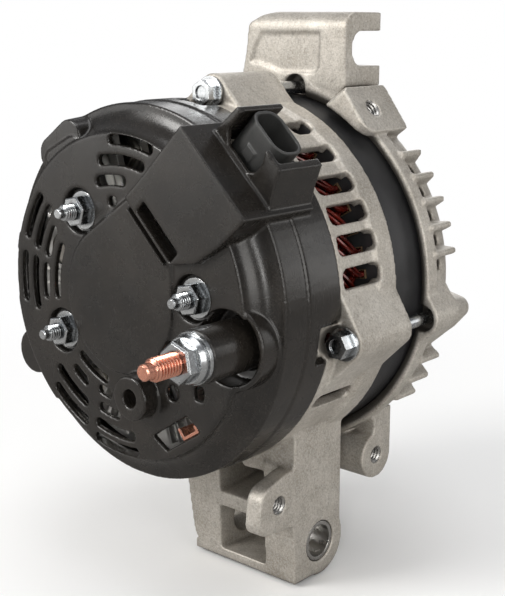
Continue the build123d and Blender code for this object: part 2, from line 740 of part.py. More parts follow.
    # tapped hole through the tab
    with BuildSketch(side(30)):
        with Locations(TAB):
            Circle(M8_TAP_R)
    extrude(amount=30, mode=Mode.SUBTRACT)
save(rear_frame.part, "rear_frame")

with BuildPart() as sleeve:
    with BuildSketch(side(31.0)):
        with Locations(PIVOT):
            Circle(SLEEVE_R)
            Circle(SLEEVE_BORE_R, mode=Mode.SUBTRACT)
    extrude(amount=16.0)
    chamfer(sleeve.edges().filter_by(GeomType.CIRCLE).sort_by(SortBy.RADIUS)[-2:], 0.4)
save(sleeve.part, "mounting_sleeve")

# ---------------------------------------------------------------- stator
with BuildPart() as core:
    with BuildSketch(rear(CORE_Y1)):
        Circle(CORE_R)
        Circle(BORE_R, mode=Mode.SUBTRACT)
        with PolarLocations(SLOT_MID_R, SLOTS):
            Rectangle(SLOT_DEPTH, SLOT_W, mode=Mode.SUBTRACT)
        # narrow slot mouths
        with PolarLocations(SLOT_R0 - 0.5, SLOTS):
            Rectangle(2.2, 1.6, mode=Mode.SUBTRACT)
    extrude(amount=CORE_LENGTH)
save(core.part, "stator_core")

with BuildPart() as liners:
    with BuildSketch(rear(CORE_Y1 + 0.8)):
        with PolarLocations(SLOT_MID_R, SLOTS):
            Rectangle(SLOT_DEPTH - 0.08, SLOT_W - 0.08)
            Rectangle(SLOT_DEPTH - 0.8, SLOT_W - 0.8, mode=Mode.SUBTRACT)
    extrude(amount=CORE_LENGTH + 1.6)
save(liners.part, "slot_liners")

with BuildPart() as winding:
    # bars in the slots, joined by a crown at each end of the core
    with BuildSketch(rear(26.5)):
        with PolarLocations(SLOT_MID_R, SLOTS):
            Rectangle(SLOT_DEPTH - 1.0, SLOT_W - 1.0)
    extrude(amount=38.0)
    with BuildSketch(Plane.XY):
        outline((53.6, 25.3), (62.4, 25.3), (62.6, 27.5), (61.0, 33.6), (55.6, 33.6), (53.6, 31.5))
        outline((53.6, -9.6), (62.6, -9.6), (63.2, -12.0), (62.4, -26.0), (60.8, -27.4),
                (55.6, -27.4), (53.8, -25.5))
    revolve(axis=Axis.Y)
save(winding.part, "stator_winding")

with BuildPart() as stator_leads:
    with BuildSketch(rear(-27.42)):
        with Locations(*LEAD_XZ):
            Circle(1.25)
    extrude(amount=24.0)
save(stator_leads.part, "stator_leads")

ring_piece("lead_grommets", LEAD_XZ, 1.32, (-33.48, 2.96, 5.5))

# ---------------------------------------------------------------- drive-end frame
DRIVE_RIM_R, DRIVE_RIM_Y = 73.0, 15.8
BRACKET_REAR_Y, BRACKET_FRONT_Y = 16.0, 38.5
NOTCH_Y, NOTCH_Z, NOTCH_R = 27.0, 85.8, 6.5     # slot through the upper bracket
LUG_Y, LUG_Z, LUG_R = 22.0, -72.6, 9.4
BLOCK_ANGLE = 36.3
FIN_PITCH = 7.75
# Groups of fins: first angle, direction, count
FIN_GROUPS = ((40.5, -1, 5), (-24.0, -1, 3), (104.0, 1, 8), (188.5, 1, 9), (276.0, 1, 2))
FIN_ANGLES = [first + direction * FIN_PITCH * k
              for first, direction, count in FIN_GROUPS for k in range(count)]
# Start and end angle of each bolt boss's flanks, in the order of BOLT_ANGLES
DRIVE_BOSS_FLANKS = ((-22, 2.0), (70.5, 94), (163, 186), (253, 276))


def is_bracket_top_rear_edge(edge):
    centre = edge.center()
    return (abs(centre.Z - 99.45) < 0.4 and abs(centre.Y - BRACKET_REAR_Y) < 0.05
            and edge.length > 20)


with BuildPart() as drive_frame:
    with BuildSketch(Plane.XY):
        with BuildLine():
            Polyline((0, DRIVE_RIM_Y), (DRIVE_RIM_R, DRIVE_RIM_Y), (DRIVE_RIM_R, 22.4),
                     (70.2, 23.2), (69.6, 30.0))
            ThreePointArc((69.6, 30.0), (67.4, 36.8), (61.5, 41.5))
            Polyline((61.5, 41.5), (50.0, 45.2), (33.0, 46.0), (31.0, 54.0), (29.0, 55.6),
                     (0, 55.6), (0, DRIVE_RIM_Y))
        make_face()
    revolve(axis=Axis.Y)
    # cooling fins round the shoulder
    for angle in FIN_ANGLES:
        with BuildSketch(rear_at(33.6, angle)):
            with BuildLine():
                Polyline((58, -2.0), (70.0, -1.9), (73.2, -1.3))
                ThreePointArc((73.2, -1.3), (74.5, 0), (73.2, 1.3))
                Polyline((73.2, 1.3), (70.0, 1.9), (58, 2.0), (58, -2.0))
            make_face()
        extrude(amount=13.0)
    # bosses for the through bolts, tapering towards the front
    for angle, (start, end) in zip(BOLT_ANGLES, DRIVE_BOSS_FLANKS):
        with BuildSketch(rear(31.0)):
            with Locations(polar(BOLT_R, angle)):
                Circle(7.0)
            with Locations(polar(68.0, start), polar(68.0, end)):
                Circle(1.5)
            make_hull()
        extrude(amount=31.0 - DRIVE_RIM_Y)
        with BuildSketch(rear(31.0)):
            with Locations(polar(BOLT_R, angle)):
                Circle(7.0)
            with Locations(polar(60.0, angle - 6), polar(60.0, angle + 6)):
                Circle(1.5)
            make_hull()
        extrude(amount=-12.0, taper=14)
    # upper bracket
    with BuildSketch(rear(BRACKET_FRONT_Y)):
        outline((-19.0, 62), (-18.6, 75.0), (-16.4, 84.8), (-15.2, 95.2), (-10.0, 98.4),
                (-5.0, 99.6), (33.0, 99.3), (33.0, 72.0), (27.3, 64))
    extrude(amount=BRACKET_FRONT_Y - BRACKET_REAR_Y)
    fillet(drive_frame.edges().filter_by(is_bracket_top_rear_edge), 6.5)
    # tangential block for a tapped hole
    with BuildSketch(radial(BLOCK_ANGLE, 60.0)):
        with BuildLine():
            Polyline((11.0, 36.0), (33.4, 36.0))
            RadiusArc((33.4, 36.0), (35.2, 34.2), 1.8)
            Polyline((35.2, 34.2), (35.2, 17.8))
            RadiusArc((35.2, 17.8), (33.4, 16.0), 1.8)
            Line((33.4, 16.0), (14.0, 16.0))
            RadiusArc((14.0, 16.0), (8.8, 21.2), 5.2)
            Line((8.8, 21.2), (8.8, 33.8))
            RadiusArc((8.8, 33.8), (11.0, 36.0), 2.2)
        make_face()
    extrude(amount=13.2)
    # small lower lug for a tapped hole
    with BuildSketch(side(24.0)):
        with Locations((LUG_Y, LUG_Z)):
            Circle(LUG_R)
        outline((LUG_Y - 4.0, LUG_Z + 2), (LUG_Y + LUG_R, LUG_Z), (LUG_Y + LUG_R, -54),
                (LUG_Y - 3.6, -54), (LUG_Y - 1.6, -61))
    extrude(amount=FACE_X - 24.0)
    # inside: register for the core, winding space, bearing boss
    with BuildSketch(Plane.XY):
        outline((0, 0), (71.4, 0), (71.4, DRIVE_RIM_Y), (CORE_R + CLR, 18.8),
                (CORE_R + CLR, CORE_Y1 + CLR), (65.4, CORE_Y1 + CLR), (65.4, 31.0), (61.5, 36.5),
                (52.0, 40.8), (33.5, 41.5), (32.0, 38.02), (0, 38.02))
    revolve(axis=Axis.Y, mode=Mode.SUBTRACT)
    seat_r, seat_y = FRONT_BEARING.outer_r + CLR, FRONT_BEARING.front_y + CLR
    with BuildSketch(Plane.XY):
        outline((0, 30), (seat_r, 30), (seat_r, seat_y), (19.0, seat_y), (19.0, 60), (0, 60))
    revolve(axis=Axis.Y, mode=Mode.SUBTRACT)
    # vents between the fins
    for angle in FIN_ANGLES:
        with BuildSketch(radial(angle - FIN_PITCH / 2, 60.0)):
            with Locations((26.4, 0)):
                RectangleRounded(6.0, 3.9, 0.8)
        extrude(amount=14, mode=Mode.SUBTRACT)
    # air outlets in the front wall
    with BuildSketch(rear(60)):
        for k in range(8):
            add(sector(36.0, 55.0, k * 45 + 6, k * 45 + 39))
    extrude(amount=25, mode=Mode.SUBTRACT)
    # half-round bolt slot through the upper bracket, open to the front
    with BuildSketch(side(-30)):
        with Locations((NOTCH_Y, NOTCH_Z)):
            Circle(NOTCH_R)
        outline((NOTCH_Y, NOTCH_Z - NOTCH_R), (45, NOTCH_Z - NOTCH_R),
                (45, NOTCH_Z + NOTCH_R), (NOTCH_Y, NOTCH_Z + NOTCH_R))
    extrude(amount=80, mode=Mode.SUBTRACT)
    # shallow pocket on the bracket's rear face
    with BuildSketch(rear(16.8)):
        with BuildLine():
            Polyline((-8.6, 92.0), (21.0, 92.0), (20.6, 80.0))
            ThreePointArc((20.6, 80.0), (19.2, 77.2), (16.5, 76.4))
            Polyline((16.5, 76.4), (2, 76.4), (-10, 79.8), (-14.6, 79.8), (-12.0, 86.5),
                     (-8.6, 92.0))
        make_face()
    extrude(amount=2, mode=Mode.SUBTRACT)
    # through-bolt holes and the relief round each shank
    for angle in BOLT_ANGLES:
        with BuildSketch(rear_at(40.5, angle, BOLT_R)):
            Circle(SHANK_R + CLR)
        extrude(amount=30, mode=Mode.SUBTRACT)
        with BuildSketch(rear_at(20.5, angle, BOLT_R)):
            Circle(5.0)
        extrude(amount=8, mode=Mode.SUBTRACT)
    # tapped holes of the block and the lug
    with BuildSketch(radial(BLOCK_ANGLE, 67.2)):
        with Locations((20.1, 26.2)):
            Circle(M8_TAP_R)
    extrude(amount=30, mode=Mode.SUBTRACT)
    with BuildSketch(side(27.0)):
        with Locations((LUG_Y, LUG_Z)):
            Circle(M8_TAP_R)
    extrude(amount=40, mode=Mode.SUBTRACT)
    # retainer screw holes
    with BuildSketch(rear(47.0)):
        with PolarLocations(RETAINER_PCR, RETAINER_SCREWS, start_angle=45):
            Circle(SCREW_R + CLR)
    extrude(amount=12, mode=Mode.SUBTRACT)
save(drive_frame.part, "drive_end_frame")

# ---------------------------------------------------------------- bolts, retainer, screws
BOLT_TIP_Y = 38.0
SCREW_SEAT_Y = 36.38

with BuildPart() as bolts:
    for angle in BOLT_ANGLES:
        with BuildSketch(rear_at(BOLT_TIP_Y, angle, BOLT_R)):
            Circle(SHANK_R)
        extrude(amount=BOLT_TIP_Y + 31.1)
        # flange, hexagon and the recess in the head
        with BuildSketch(rear_at(BOLT_SEAT_Y - CLR, angle, BOLT_R)):
            Circle(5.9)
        extrude(amount=1.3)
        with BuildSketch(rear_at(-32.2, angle, BOLT_R)):
            RegularPolygon(4.0, 6, major_radius=False, rotation=8)
        extrude(amount=4.6)
        with BuildSketch(rear_at(-36.2, angle, BOLT_R)):
            Circle(2.6)
        extrude(amount=3, mode=Mode.SUBTRACT)
save(bolts.part, "through_bolts")

with BuildPart() as retainer:
    with BuildSketch(rear(38.0)):
        Circle(31.6)
        Circle(21.5, mode=Mode.SUBTRACT)
        with PolarLocations(RETAINER_PCR, RETAINER_SCREWS, start_angle=45):
            Circle(SCREW_R + 0.15, mode=Mode.SUBTRACT)
    extrude(amount=1.6)
save(retainer.part, "bearing_retainer")

with BuildPart() as screws:
    with BuildSketch(rear(46.0)):
        with PolarLocations(RETAINER_PCR, RETAINER_SCREWS, start_angle=45):
            Circle(SCREW_R)
    extrude(amount=46.0 - SCREW_SEAT_Y)
    with BuildSketch(rear(SCREW_SEAT_Y)):
        with PolarLocations(RETAINER_PCR, RETAINER_SCREWS, start_angle=45):
            Circle(3.3)
    extrude(amount=1.8, taper=12)
save(screws.part, "retainer_screws")


# ---------------------------------------------------------------- bearings
def rectangle_points(inner_r, outer_r, y0, y1):
    return ((inner_r, y0), (outer_r, y0), (outer_r, y1), (inner_r, y1))


def bearing_pieces(name, bearing):
    """Races, balls, cage and seals of one bearing."""
    y0, y1 = bearing.rear_y, bearing.front_y
    mid_y = (y0 + y1) / 2
    ball_r, pitch_r = bearing.ball_r, bearing.pitch_r
    outer_land_r = pitch_r + 0.78 * ball_r      # shoulders beside the ball grooves
    inner_land_r = pitch_r - 0.78 * ball_r
    ball_centres = []
    for k in range(bearing.ball_count):
        x, z = polar(pitch_r, 360 / bearing.ball_count * k)
        ball_centres.append((x, mid_y, z))

    for race_name, race_r0, race_r1 in (("outer", outer_land_r, bearing.outer_r),
                                        ("inner", bearing.bore_r + CLR, inner_land_r)):
        with BuildPart() as race:
            with BuildSketch(Plane.XY):
                outline(*rectangle_points(race_r0, race_r1, y0, y1))
                with Locations((pitch_r, mid_y)):
                    Circle(ball_r + 0.03, mode=Mode.SUBTRACT)
            revolve(axis=Axis.Y)
        save(race.part, name + "_bearing_" + race_name + "_race")

    with BuildPart() as balls:
        with Locations(*ball_centres):
            Sphere(ball_r)
    save(balls.part, name + "_bearing_balls")

    with BuildPart() as cage:
        with BuildSketch(Plane.XY):
            outline(*rectangle_points(pitch_r - 0.5 * ball_r, pitch_r + 0.5 * ball_r,
                                      mid_y - 0.62 * ball_r, mid_y + 0.62 * ball_r))
        revolve(axis=Axis.Y)
        with Locations(*ball_centres):
            Sphere(ball_r + 0.12, mode=Mode.SUBTRACT)
    save(cage.part, name + "_bearing_cage")

    seal_r0, seal_r1 = pitch_r - 0.70 * ball_r, outer_land_r - CLR
    turned_piece(name + "_bearing_seals",
                 rectangle_points(seal_r0, seal_r1, y0 + 0.15, y0 + 0.75),
                 rectangle_points(seal_r0, seal_r1, y1 - 0.75, y1 - 0.15))


bearing_pieces("front", FRONT_BEARING)
bearing_pieces("rear", REAR_BEARING)

# ---------------------------------------------------------------- rotor
SHAFT_R = FRONT_BEARING.bore_r
SHAFT_FIT_R = SHAFT_R + CLR     # bore of the pieces on the shaft's main diameter
ROTOR_R = 51.5
FINGERS = 8
FINGER_PITCH = 360 / FINGERS
POLE_REAR_Y, POLE_FRONT_Y = -12.6, 28.6         # outer faces of the claw poles
POLE_MID_Y = 8.0                # plane where the two pole hubs meet
FAN_T = 1.3

with BuildPart() as shaft:
    with BuildSketch(Plane.XY):
        outline((0, -63.6), (4.2, -63.6), (4.5, -63.3), (4.5, -45.2), (7.0, -45.0),
                (REAR_BEARING.bore_r, -44.4), (REAR_BEARING.bore_r, -30.9), (10.2, -30.9),
                (10.2, -14.0), (SHAFT_R, -14.0), (SHAFT_R, 56.0), (7.9, 58.0), (7.9, 77.0),
                (7.0, 78.0), (7.0, 90.0), (6.2, 91.0), (0, 91.0))
    revolve(axis=Axis.Y)
    # hexagon socket in the front end
    with BuildSketch(rear(91.5)):
        RegularPolygon(3.0, 6, major_radius=False)
    extrude(amount=8, mode=Mode.SUBTRACT)
save(shaft.part, "rotor_shaft")


def claw_pole(name, outer_y, inner_y, tip_y, offset_angle):
    """Pole disc with fingers that reach from outer_y to tip_y, and half the hub."""
    toward = 1 if tip_y > outer_y else -1       # Y direction the fingers point in
    hub_y = POLE_MID_Y - 0.01 * toward
    with BuildPart() as claw:
        # finger envelope: a tapered ring, cut below into fingers
        with BuildSketch(Plane.XY):
            outline((30, outer_y), (49.6, outer_y), (ROTOR_R, outer_y + 1.9 * toward),
                    (ROTOR_R, tip_y - 1.2 * toward), (ROTOR_R - 1.2, tip_y), (47.4, tip_y),
                    (43.4, inner_y), (30, inner_y))
        revolve(axis=Axis.Y)
        tip_end, root_end = tip_y + 3 * toward, outer_y - 3 * toward
        for k in range(FINGERS):
            with BuildSketch(radial(offset_angle + FINGER_PITCH * (k + 0.5), 27.0)):
                outline((tip_end, -17.3), (tip_end, 17.3), (inner_y, 11.6),
                        (root_end, 9.4), (root_end, -9.4), (inner_y, -11.6))
            extrude(amount=30, mode=Mode.SUBTRACT)
        with BuildSketch(Plane.XY):
            outline((SHAFT_FIT_R, outer_y), (31.5, outer_y), (31.5, inner_y), (25.0, inner_y),
                    (25.0, hub_y), (SHAFT_FIT_R, hub_y))
        revolve(axis=Axis.Y)
    save(claw.part, name)


claw_pole("rear_claw_pole", POLE_REAR_Y, -3.0, 24.0, 0.0)
claw_pole("front_claw_pole", POLE_FRONT_Y, 19.0, -8.0, FINGER_PITCH / 2)

turned_piece("coil_bobbin", (
    (25.05, -2.95), (42.2, -2.95), (42.2, -1.6), (26.4, -1.6), (26.4, 17.6), (42.2, 17.6),
    (42.2, 18.95), (25.05, 18.95)))
turned_piece("field_coil", (
    (26.45, -1.55), (41.0, -1.55), (41.8, 0), (41.8, 16), (41.0, 17.55), (26.45, 17.55)))


def fan(name, blades, lean, disc_y, blade_y, blade_depth):
    """Fan; disc_y and blade_y are front faces, lean is the sense the blades turn in."""
    blade_pitch = 360 / blades
    with BuildPart() as wheel:
        # disc with one tongue per blade
        with BuildSketch(rear(disc_y)):
            Circle(38.0)
            for k in range(blades):
                with Locations(Location(polar(44.0, blade_pitch * k), blade_pitch * k)):
                    Rectangle(13.0, 9.0)
            Circle(10.3, mode=Mode.SUBTRACT)
        extrude(amount=FAN_T)
        with BuildSketch(rear(blade_y)):
            for k in range(blades):
                with Locations(Location(polar(42.0, blade_pitch * k + 4),
                                        blade_pitch * k + 34 * lean)):
                    RectangleRounded(17.0, 1.4, 0.6)
        extrude(amount=blade_depth)
        # trim to the outer radius
        with BuildSketch(rear(60)):
            Circle(70)
            Circle(50.4, mode=Mode.SUBTRACT)
        extrude(amount=120, mode=Mode.SUBTRACT)
    save(wheel.part, name)


# each fan sits 0.05 off its pole, its blades sunk 0.05 into its own disc
fan("rear_fan", 11, 1, POLE_REAR_Y - 0.05, POLE_REAR_Y - FAN_T, 12.6)
fan("front_fan", 9, -1, POLE_FRONT_Y + 0.05 + FAN_T, POLE_FRONT_Y + FAN_T + 6.6, 6.6)

turned_piece("front_collar", rectangle_points(SHAFT_FIT_R, 12.0, 30.0, 38.4))

# flanged sleeve, with a rib between the two rings
turned_piece(
    "slip_ring_insulator",
    ((4.52, -63.2), (8.0, -63.2), (8.0, -62.0), (6.2, -62.0), (6.2, -46.9), (8.0, -46.9),
     (8.0, -45.3), (4.52, -45.3)),
    rectangle_points(6.1, 8.0, -55.2, -53.8))
turned_piece("slip_rings",
             rectangle_points(6.22, 7.6, -61.95, -55.25),
             rectangle_points(6.22, 7.6, -53.75, -46.95))

# ---------------------------------------------------------------- pulley
PULLEY_BORE_R = 7.92
RIB_TIP_R, GROOVE_R = 28.0, 25.6
GROOVES, GROOVE_PITCH, GROOVE_START_Y = 6, 3.56, 58.6

groove_points = []
for k in range(GROOVES):
    y = GROOVE_START_Y + GROOVE_PITCH * k
    groove_points += [(RIB_TIP_R, y), (RIB_TIP_R, y + 0.5), (GROOVE_R, y + 1.7),
                      (GROOVE_R, y + 1.9), (RIB_TIP_R, y + 3.1)]

with BuildPart() as pulley:
    with BuildSketch(Plane.XY):
        with BuildLine():
            Polyline((PULLEY_BORE_R, 58.05), (8.6, 56.2), (8.6, 52.6), (12.5, 52.6), (13.5, 57.4),
                     (29.4, 57.4), (29.4, GROOVE_START_Y), *groove_points,
                     (RIB_TIP_R, 79.9), (29.4, 80.2), (29.4, 81.2), (24.5, 81.2), (23.5, 72.5),
                     (14.0, 72.5), (14.0, 77.0), (PULLEY_BORE_R, 77.0), (PULLEY_BORE_R, 58.05))
        make_face()
    revolve(axis=Axis.Y)
save(pulley.part, "pulley")

with BuildPart() as pulley_nut:
    with BuildSketch(rear(88.0)):
        RegularPolygon(11.0, 6, major_radius=False)
        Circle(7.02, mode=Mode.SUBTRACT)
    extrude(amount=8.6)
    chamfer(pulley_nut.edges().group_by(Axis.Y)[-1].filter_by(GeomType.LINE), 1.0)
    # flange on the rear side
    with BuildSketch(rear(88.0 - 8.6)):
        Circle(13.0)
        Circle(8.0, mode=Mode.SUBTRACT)
    extrude(amount=2.3)
save(pulley_nut.part, "pulley_nut")
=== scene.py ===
# An alternator, its axis along Y: the drive end towards +Y, the rear cover and the
# B+ stud towards -Y, +Z up. Shapes are worked out in millimetres and stored in metres;
# materials, lights and the camera are given in metres.
import bpy
import bmesh
import json
import math
import numpy as np
from mathutils import Vector, Matrix


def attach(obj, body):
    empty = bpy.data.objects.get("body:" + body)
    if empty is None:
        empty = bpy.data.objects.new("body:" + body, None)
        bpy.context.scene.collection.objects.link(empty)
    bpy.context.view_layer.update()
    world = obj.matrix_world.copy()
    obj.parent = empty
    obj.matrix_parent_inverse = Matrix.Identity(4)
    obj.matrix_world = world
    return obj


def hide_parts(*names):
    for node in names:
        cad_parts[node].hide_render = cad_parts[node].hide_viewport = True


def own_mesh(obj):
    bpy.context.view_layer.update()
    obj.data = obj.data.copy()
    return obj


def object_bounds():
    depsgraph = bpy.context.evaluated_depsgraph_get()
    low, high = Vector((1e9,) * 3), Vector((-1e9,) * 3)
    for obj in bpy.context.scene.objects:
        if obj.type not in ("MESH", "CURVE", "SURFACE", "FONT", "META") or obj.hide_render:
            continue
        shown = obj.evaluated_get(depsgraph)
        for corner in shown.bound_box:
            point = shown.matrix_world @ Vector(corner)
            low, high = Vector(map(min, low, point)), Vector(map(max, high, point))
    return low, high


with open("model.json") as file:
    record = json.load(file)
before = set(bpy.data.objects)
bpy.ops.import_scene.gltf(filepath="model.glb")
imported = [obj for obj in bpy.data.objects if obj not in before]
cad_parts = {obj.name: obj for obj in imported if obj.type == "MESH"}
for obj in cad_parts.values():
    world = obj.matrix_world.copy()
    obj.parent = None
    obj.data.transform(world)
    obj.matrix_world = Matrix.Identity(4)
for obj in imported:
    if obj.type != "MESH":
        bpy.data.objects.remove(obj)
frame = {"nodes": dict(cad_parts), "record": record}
NODES = frame["nodes"]
CAD_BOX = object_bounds()
SLOT_OF = {part["node"]: part["material_slot"] for part in frame["record"]["subparts"]}
MM = 0.001


# ---------------------------------------------------------------- node helpers
class Nodes:
    """Short ways to build one node tree."""

    def __init__(self, owner):
        owner.use_nodes = True
        self.tree = owner.node_tree
        self.tree.nodes.clear()

    def node(self, kind, **settings):
        node = self.tree.nodes.new(kind)
        for key, value in settings.items():
            setattr(node, key, value)
        return node

    def link(self, source, target):
        self.tree.links.new(source, target)

    def feed(self, socket, value):
        """Links a socket, or sets an RGB colour or a plain number."""
        if isinstance(value, bpy.types.NodeSocket):
            self.link(value, socket)
        elif isinstance(value, tuple):
            socket.default_value = (*value, 1.0)
        else:
            socket.default_value = value

    def remap(self, value, span, to=(0.0, 1.0)):
        """Maps the range span onto the range to, clamped."""
        node = self.node("ShaderNodeMapRange")
        self.link(value, node.inputs["Value"])
        for key, limit in zip(("From Min", "From Max", "To Min", "To Max"), (*span, *to)):
            node.inputs[key].default_value = limit
        return node.outputs[0]

    def ray(self, kind):
        return self.node("ShaderNodeLightPath").outputs[kind]

    def emitter(self, kind, colour, strength):
        node = self.node(kind)
        self.feed(node.inputs[0], colour)
        self.feed(node.inputs[1], strength)
        return node.outputs[0]

    def mix_shader(self, mask, first, second):
        node = self.node("ShaderNodeMixShader")
        for socket, source in zip(node.inputs, (mask, first, second)):
            self.link(source, socket)
        return node.outputs[0]


class Material(Nodes):
    """One principled material patterned in object coordinates."""

    def __init__(self, name):
        self.material = bpy.data.materials.new(name)
        super().__init__(self.material)
        self.output = self.node("ShaderNodeOutputMaterial")
        self.principled = self.node("ShaderNodeBsdfPrincipled")
        self.link(self.principled.outputs[0], self.output.inputs[0])
        self.coord = self.node("ShaderNodeTexCoord").outputs["Object"]

    def set(self, inputs):
        """Sets principled inputs by name and returns the material."""
        for key, value in inputs.items():
            self.feed(self.principled.inputs[key], value)
        return self.material

    def noise(self, scale, detail=2.0, rough=0.5, stretch=None):
        coord = self.coord
        if stretch:
            mapping = self.node("ShaderNodeMapping")
            mapping.inputs["Scale"].default_value = stretch
            self.link(coord, mapping.inputs["Vector"])
            coord = mapping.outputs[0]
        node = self.node("ShaderNodeTexNoise")
        node.inputs["Scale"].default_value = scale
        node.inputs["Detail"].default_value = detail
        node.inputs["Roughness"].default_value = rough
        self.link(coord, node.inputs["Vector"])
        return node.outputs["Fac"]

    def voronoi(self, scale):
        node = self.node("ShaderNodeTexVoronoi")
        node.inputs["Scale"].default_value = scale
        self.link(self.coord, node.inputs["Vector"])
        return node.outputs["Distance"]

    def math(self, operation, first, second=0.0):
        node = self.node("ShaderNodeMath", operation=operation)
        self.feed(node.inputs[0], first)
        self.feed(node.inputs[1], second)
        return node.outputs[0]

    def mix(self, under, mask, over):
        """Lays the colour over on the colour under where mask is 1."""
        node = self.node("ShaderNodeMix", data_type="RGBA")
        self.feed(node.inputs[0], mask)
        self.feed(node.inputs[6], under)
        self.feed(node.inputs[7], over)
        return node.outputs[2]

    def tint(self, under, mask, amount, over):
        """Like mix, with the mask weakened by amount."""
        return self.mix(under, self.math("MULTIPLY", mask, amount), over)

    def bump(self, height, strength, distance, normal=None):
        node = self.node("ShaderNodeBump")
        node.inputs["Strength"].default_value = strength
        node.inputs["Distance"].default_value = distance
        self.link(height, node.inputs["Height"])
        if normal is not None:
            self.link(normal, node.inputs["Normal"])
        return node.outputs[0]

    def edge(self, radius):
        """Rounded normal, and a mask that is 1 on edges."""
        bevel = self.node("ShaderNodeBevel", samples=4)
        bevel.inputs["Radius"].default_value = radius
        geometry = self.node("ShaderNodeNewGeometry")
        dot = self.node("ShaderNodeVectorMath", operation="DOT_PRODUCT")
        self.link(bevel.outputs[0], dot.inputs[0])
        self.link(geometry.outputs["Normal"], dot.inputs[1])
        bend = self.math("SUBTRACT", 1.0, dot.outputs["Value"])
        return bevel.outputs[0], self.remap(bend, span=(0.02, 0.35))

    def painted_recess_shade(self, reach, span=(0.35, 0.95)):
        """Painted shade: a mask from ambient occlusion that is 1 in narrow recesses and 0 on
        open faces, for darkening colour where shade falls.
        """
        occlusion = self.node("ShaderNodeAmbientOcclusion", samples=6)
        occlusion.inputs["Distance"].default_value = reach
        return self.remap(occlusion.outputs["AO"], span=span, to=(1.0, 0.0))


def scaled(colour, factor, lift=0.0):
    return tuple(x * factor + lift for x in colour)


# ------------------------------------------------------------------- materials
def cast_alloy(name):
    """Die-cast aluminium: sandy grain, soft stains, brighter rubbed edges."""
    mat = Material(name)
    base = (0.385, 0.350, 0.300)
    clouds = mat.noise(scale=38.0, detail=3.0, rough=0.6)
    grain = mat.noise(scale=260.0, detail=3.0, rough=0.65)
    sand = mat.noise(scale=1500.0, detail=2.0, rough=0.7)
    pits = mat.remap(mat.voronoi(scale=900.0), span=(0.02, 0.25))
    normal, edges = mat.edge(radius=0.0005)
    colour = mat.mix(base, mat.remap(clouds, span=(0.35, 0.68)), over=(0.55, 0.515, 0.46))
    colour = mat.mix(colour, mat.remap(grain, span=(0.42, 0.72), to=(0.0, 0.45)),
                     over=scaled(base, 0.72))
    colour = mat.mix(colour, mat.remap(sand, span=(0.42, 0.74), to=(0.0, 0.50)),
                     over=(0.80, 0.78, 0.74))
    specks = mat.noise(scale=1050.0, detail=2.0, rough=0.6)
    colour = mat.mix(colour, mat.remap(specks, span=(0.52, 0.72), to=(0.0, 0.42)),
                     over=scaled(base, 0.45))
    colour = mat.tint(colour, edges, amount=0.6, over=(0.84, 0.82, 0.78))
    # painted shade from ambient occlusion: a light one in fine grooves, a dark one in deep
    # recesses
    colour = mat.tint(colour, mat.painted_recess_shade(reach=0.004), amount=0.50,
                      over=(0.085, 0.070, 0.052))
    colour = mat.tint(colour, mat.painted_recess_shade(reach=0.014, span=(0.10, 0.55)), amount=0.88,
                      over=(0.035, 0.029, 0.023))
    height = mat.math("ADD", mat.math("MULTIPLY", sand, 0.6), mat.math("MULTIPLY", grain, 0.9))
    height = mat.math("ADD", height, mat.math("MULTIPLY", pits, 0.25))
    return mat.set({
        "Base Color": colour,
        "Metallic": 0.58,
        "Roughness": mat.remap(sand, span=(0.25, 0.8), to=(0.39, 0.61)),
        "Normal": mat.bump(height, strength=0.55, distance=0.00022, normal=normal),
    })


def plastic(name, base, light, rough, grain):
    """Satin moulded plastic: faint flow marks, fine grain, dusty rubbed edges."""
    mat = Material(name)
    clouds = mat.noise(scale=34.0, detail=5.0, rough=0.62)
    flow = mat.noise(scale=55.0, detail=4.0, rough=0.6, stretch=(1.0, 0.35, 1.4))
    fine = mat.noise(scale=1500.0, detail=3.0, rough=0.7)
    scratches = mat.noise(scale=520.0, detail=1.0, rough=0.5, stretch=(1.0, 6.0, 0.25))
    normal, edges = mat.edge(radius=0.0004)
    colour = mat.mix(base, mat.remap(clouds, span=(0.35, 0.7)), over=light)
    colour = mat.mix(colour, mat.remap(fine, span=(0.50, 0.72), to=(0.0, 0.34)),
                     over=(0.062, 0.056, 0.049))
    colour = mat.tint(colour, edges, amount=0.55, over=(0.15, 0.140, 0.125))
    # painted shade: near black in narrow recesses
    colour = mat.tint(colour, mat.painted_recess_shade(reach=0.003), amount=0.6,
                      over=(0.002, 0.002, 0.002))
    roughness = mat.math(
        "ADD",
        mat.remap(flow, span=(0.3, 0.75), to=(rough - 0.07, rough + 0.10)),
        mat.remap(scratches, span=(0.62, 0.75), to=(0.0, 0.08)))
    height = mat.math("ADD", mat.math("MULTIPLY", fine, grain), mat.math("MULTIPLY", flow, 0.8))
    return mat.set({
        "Base Color": colour,
        "Roughness": roughness,
        "IOR": 1.5,
        "Specular IOR Level": 0.55,
        "Normal": mat.bump(height, strength=0.32, distance=0.00014, normal=normal),
    })


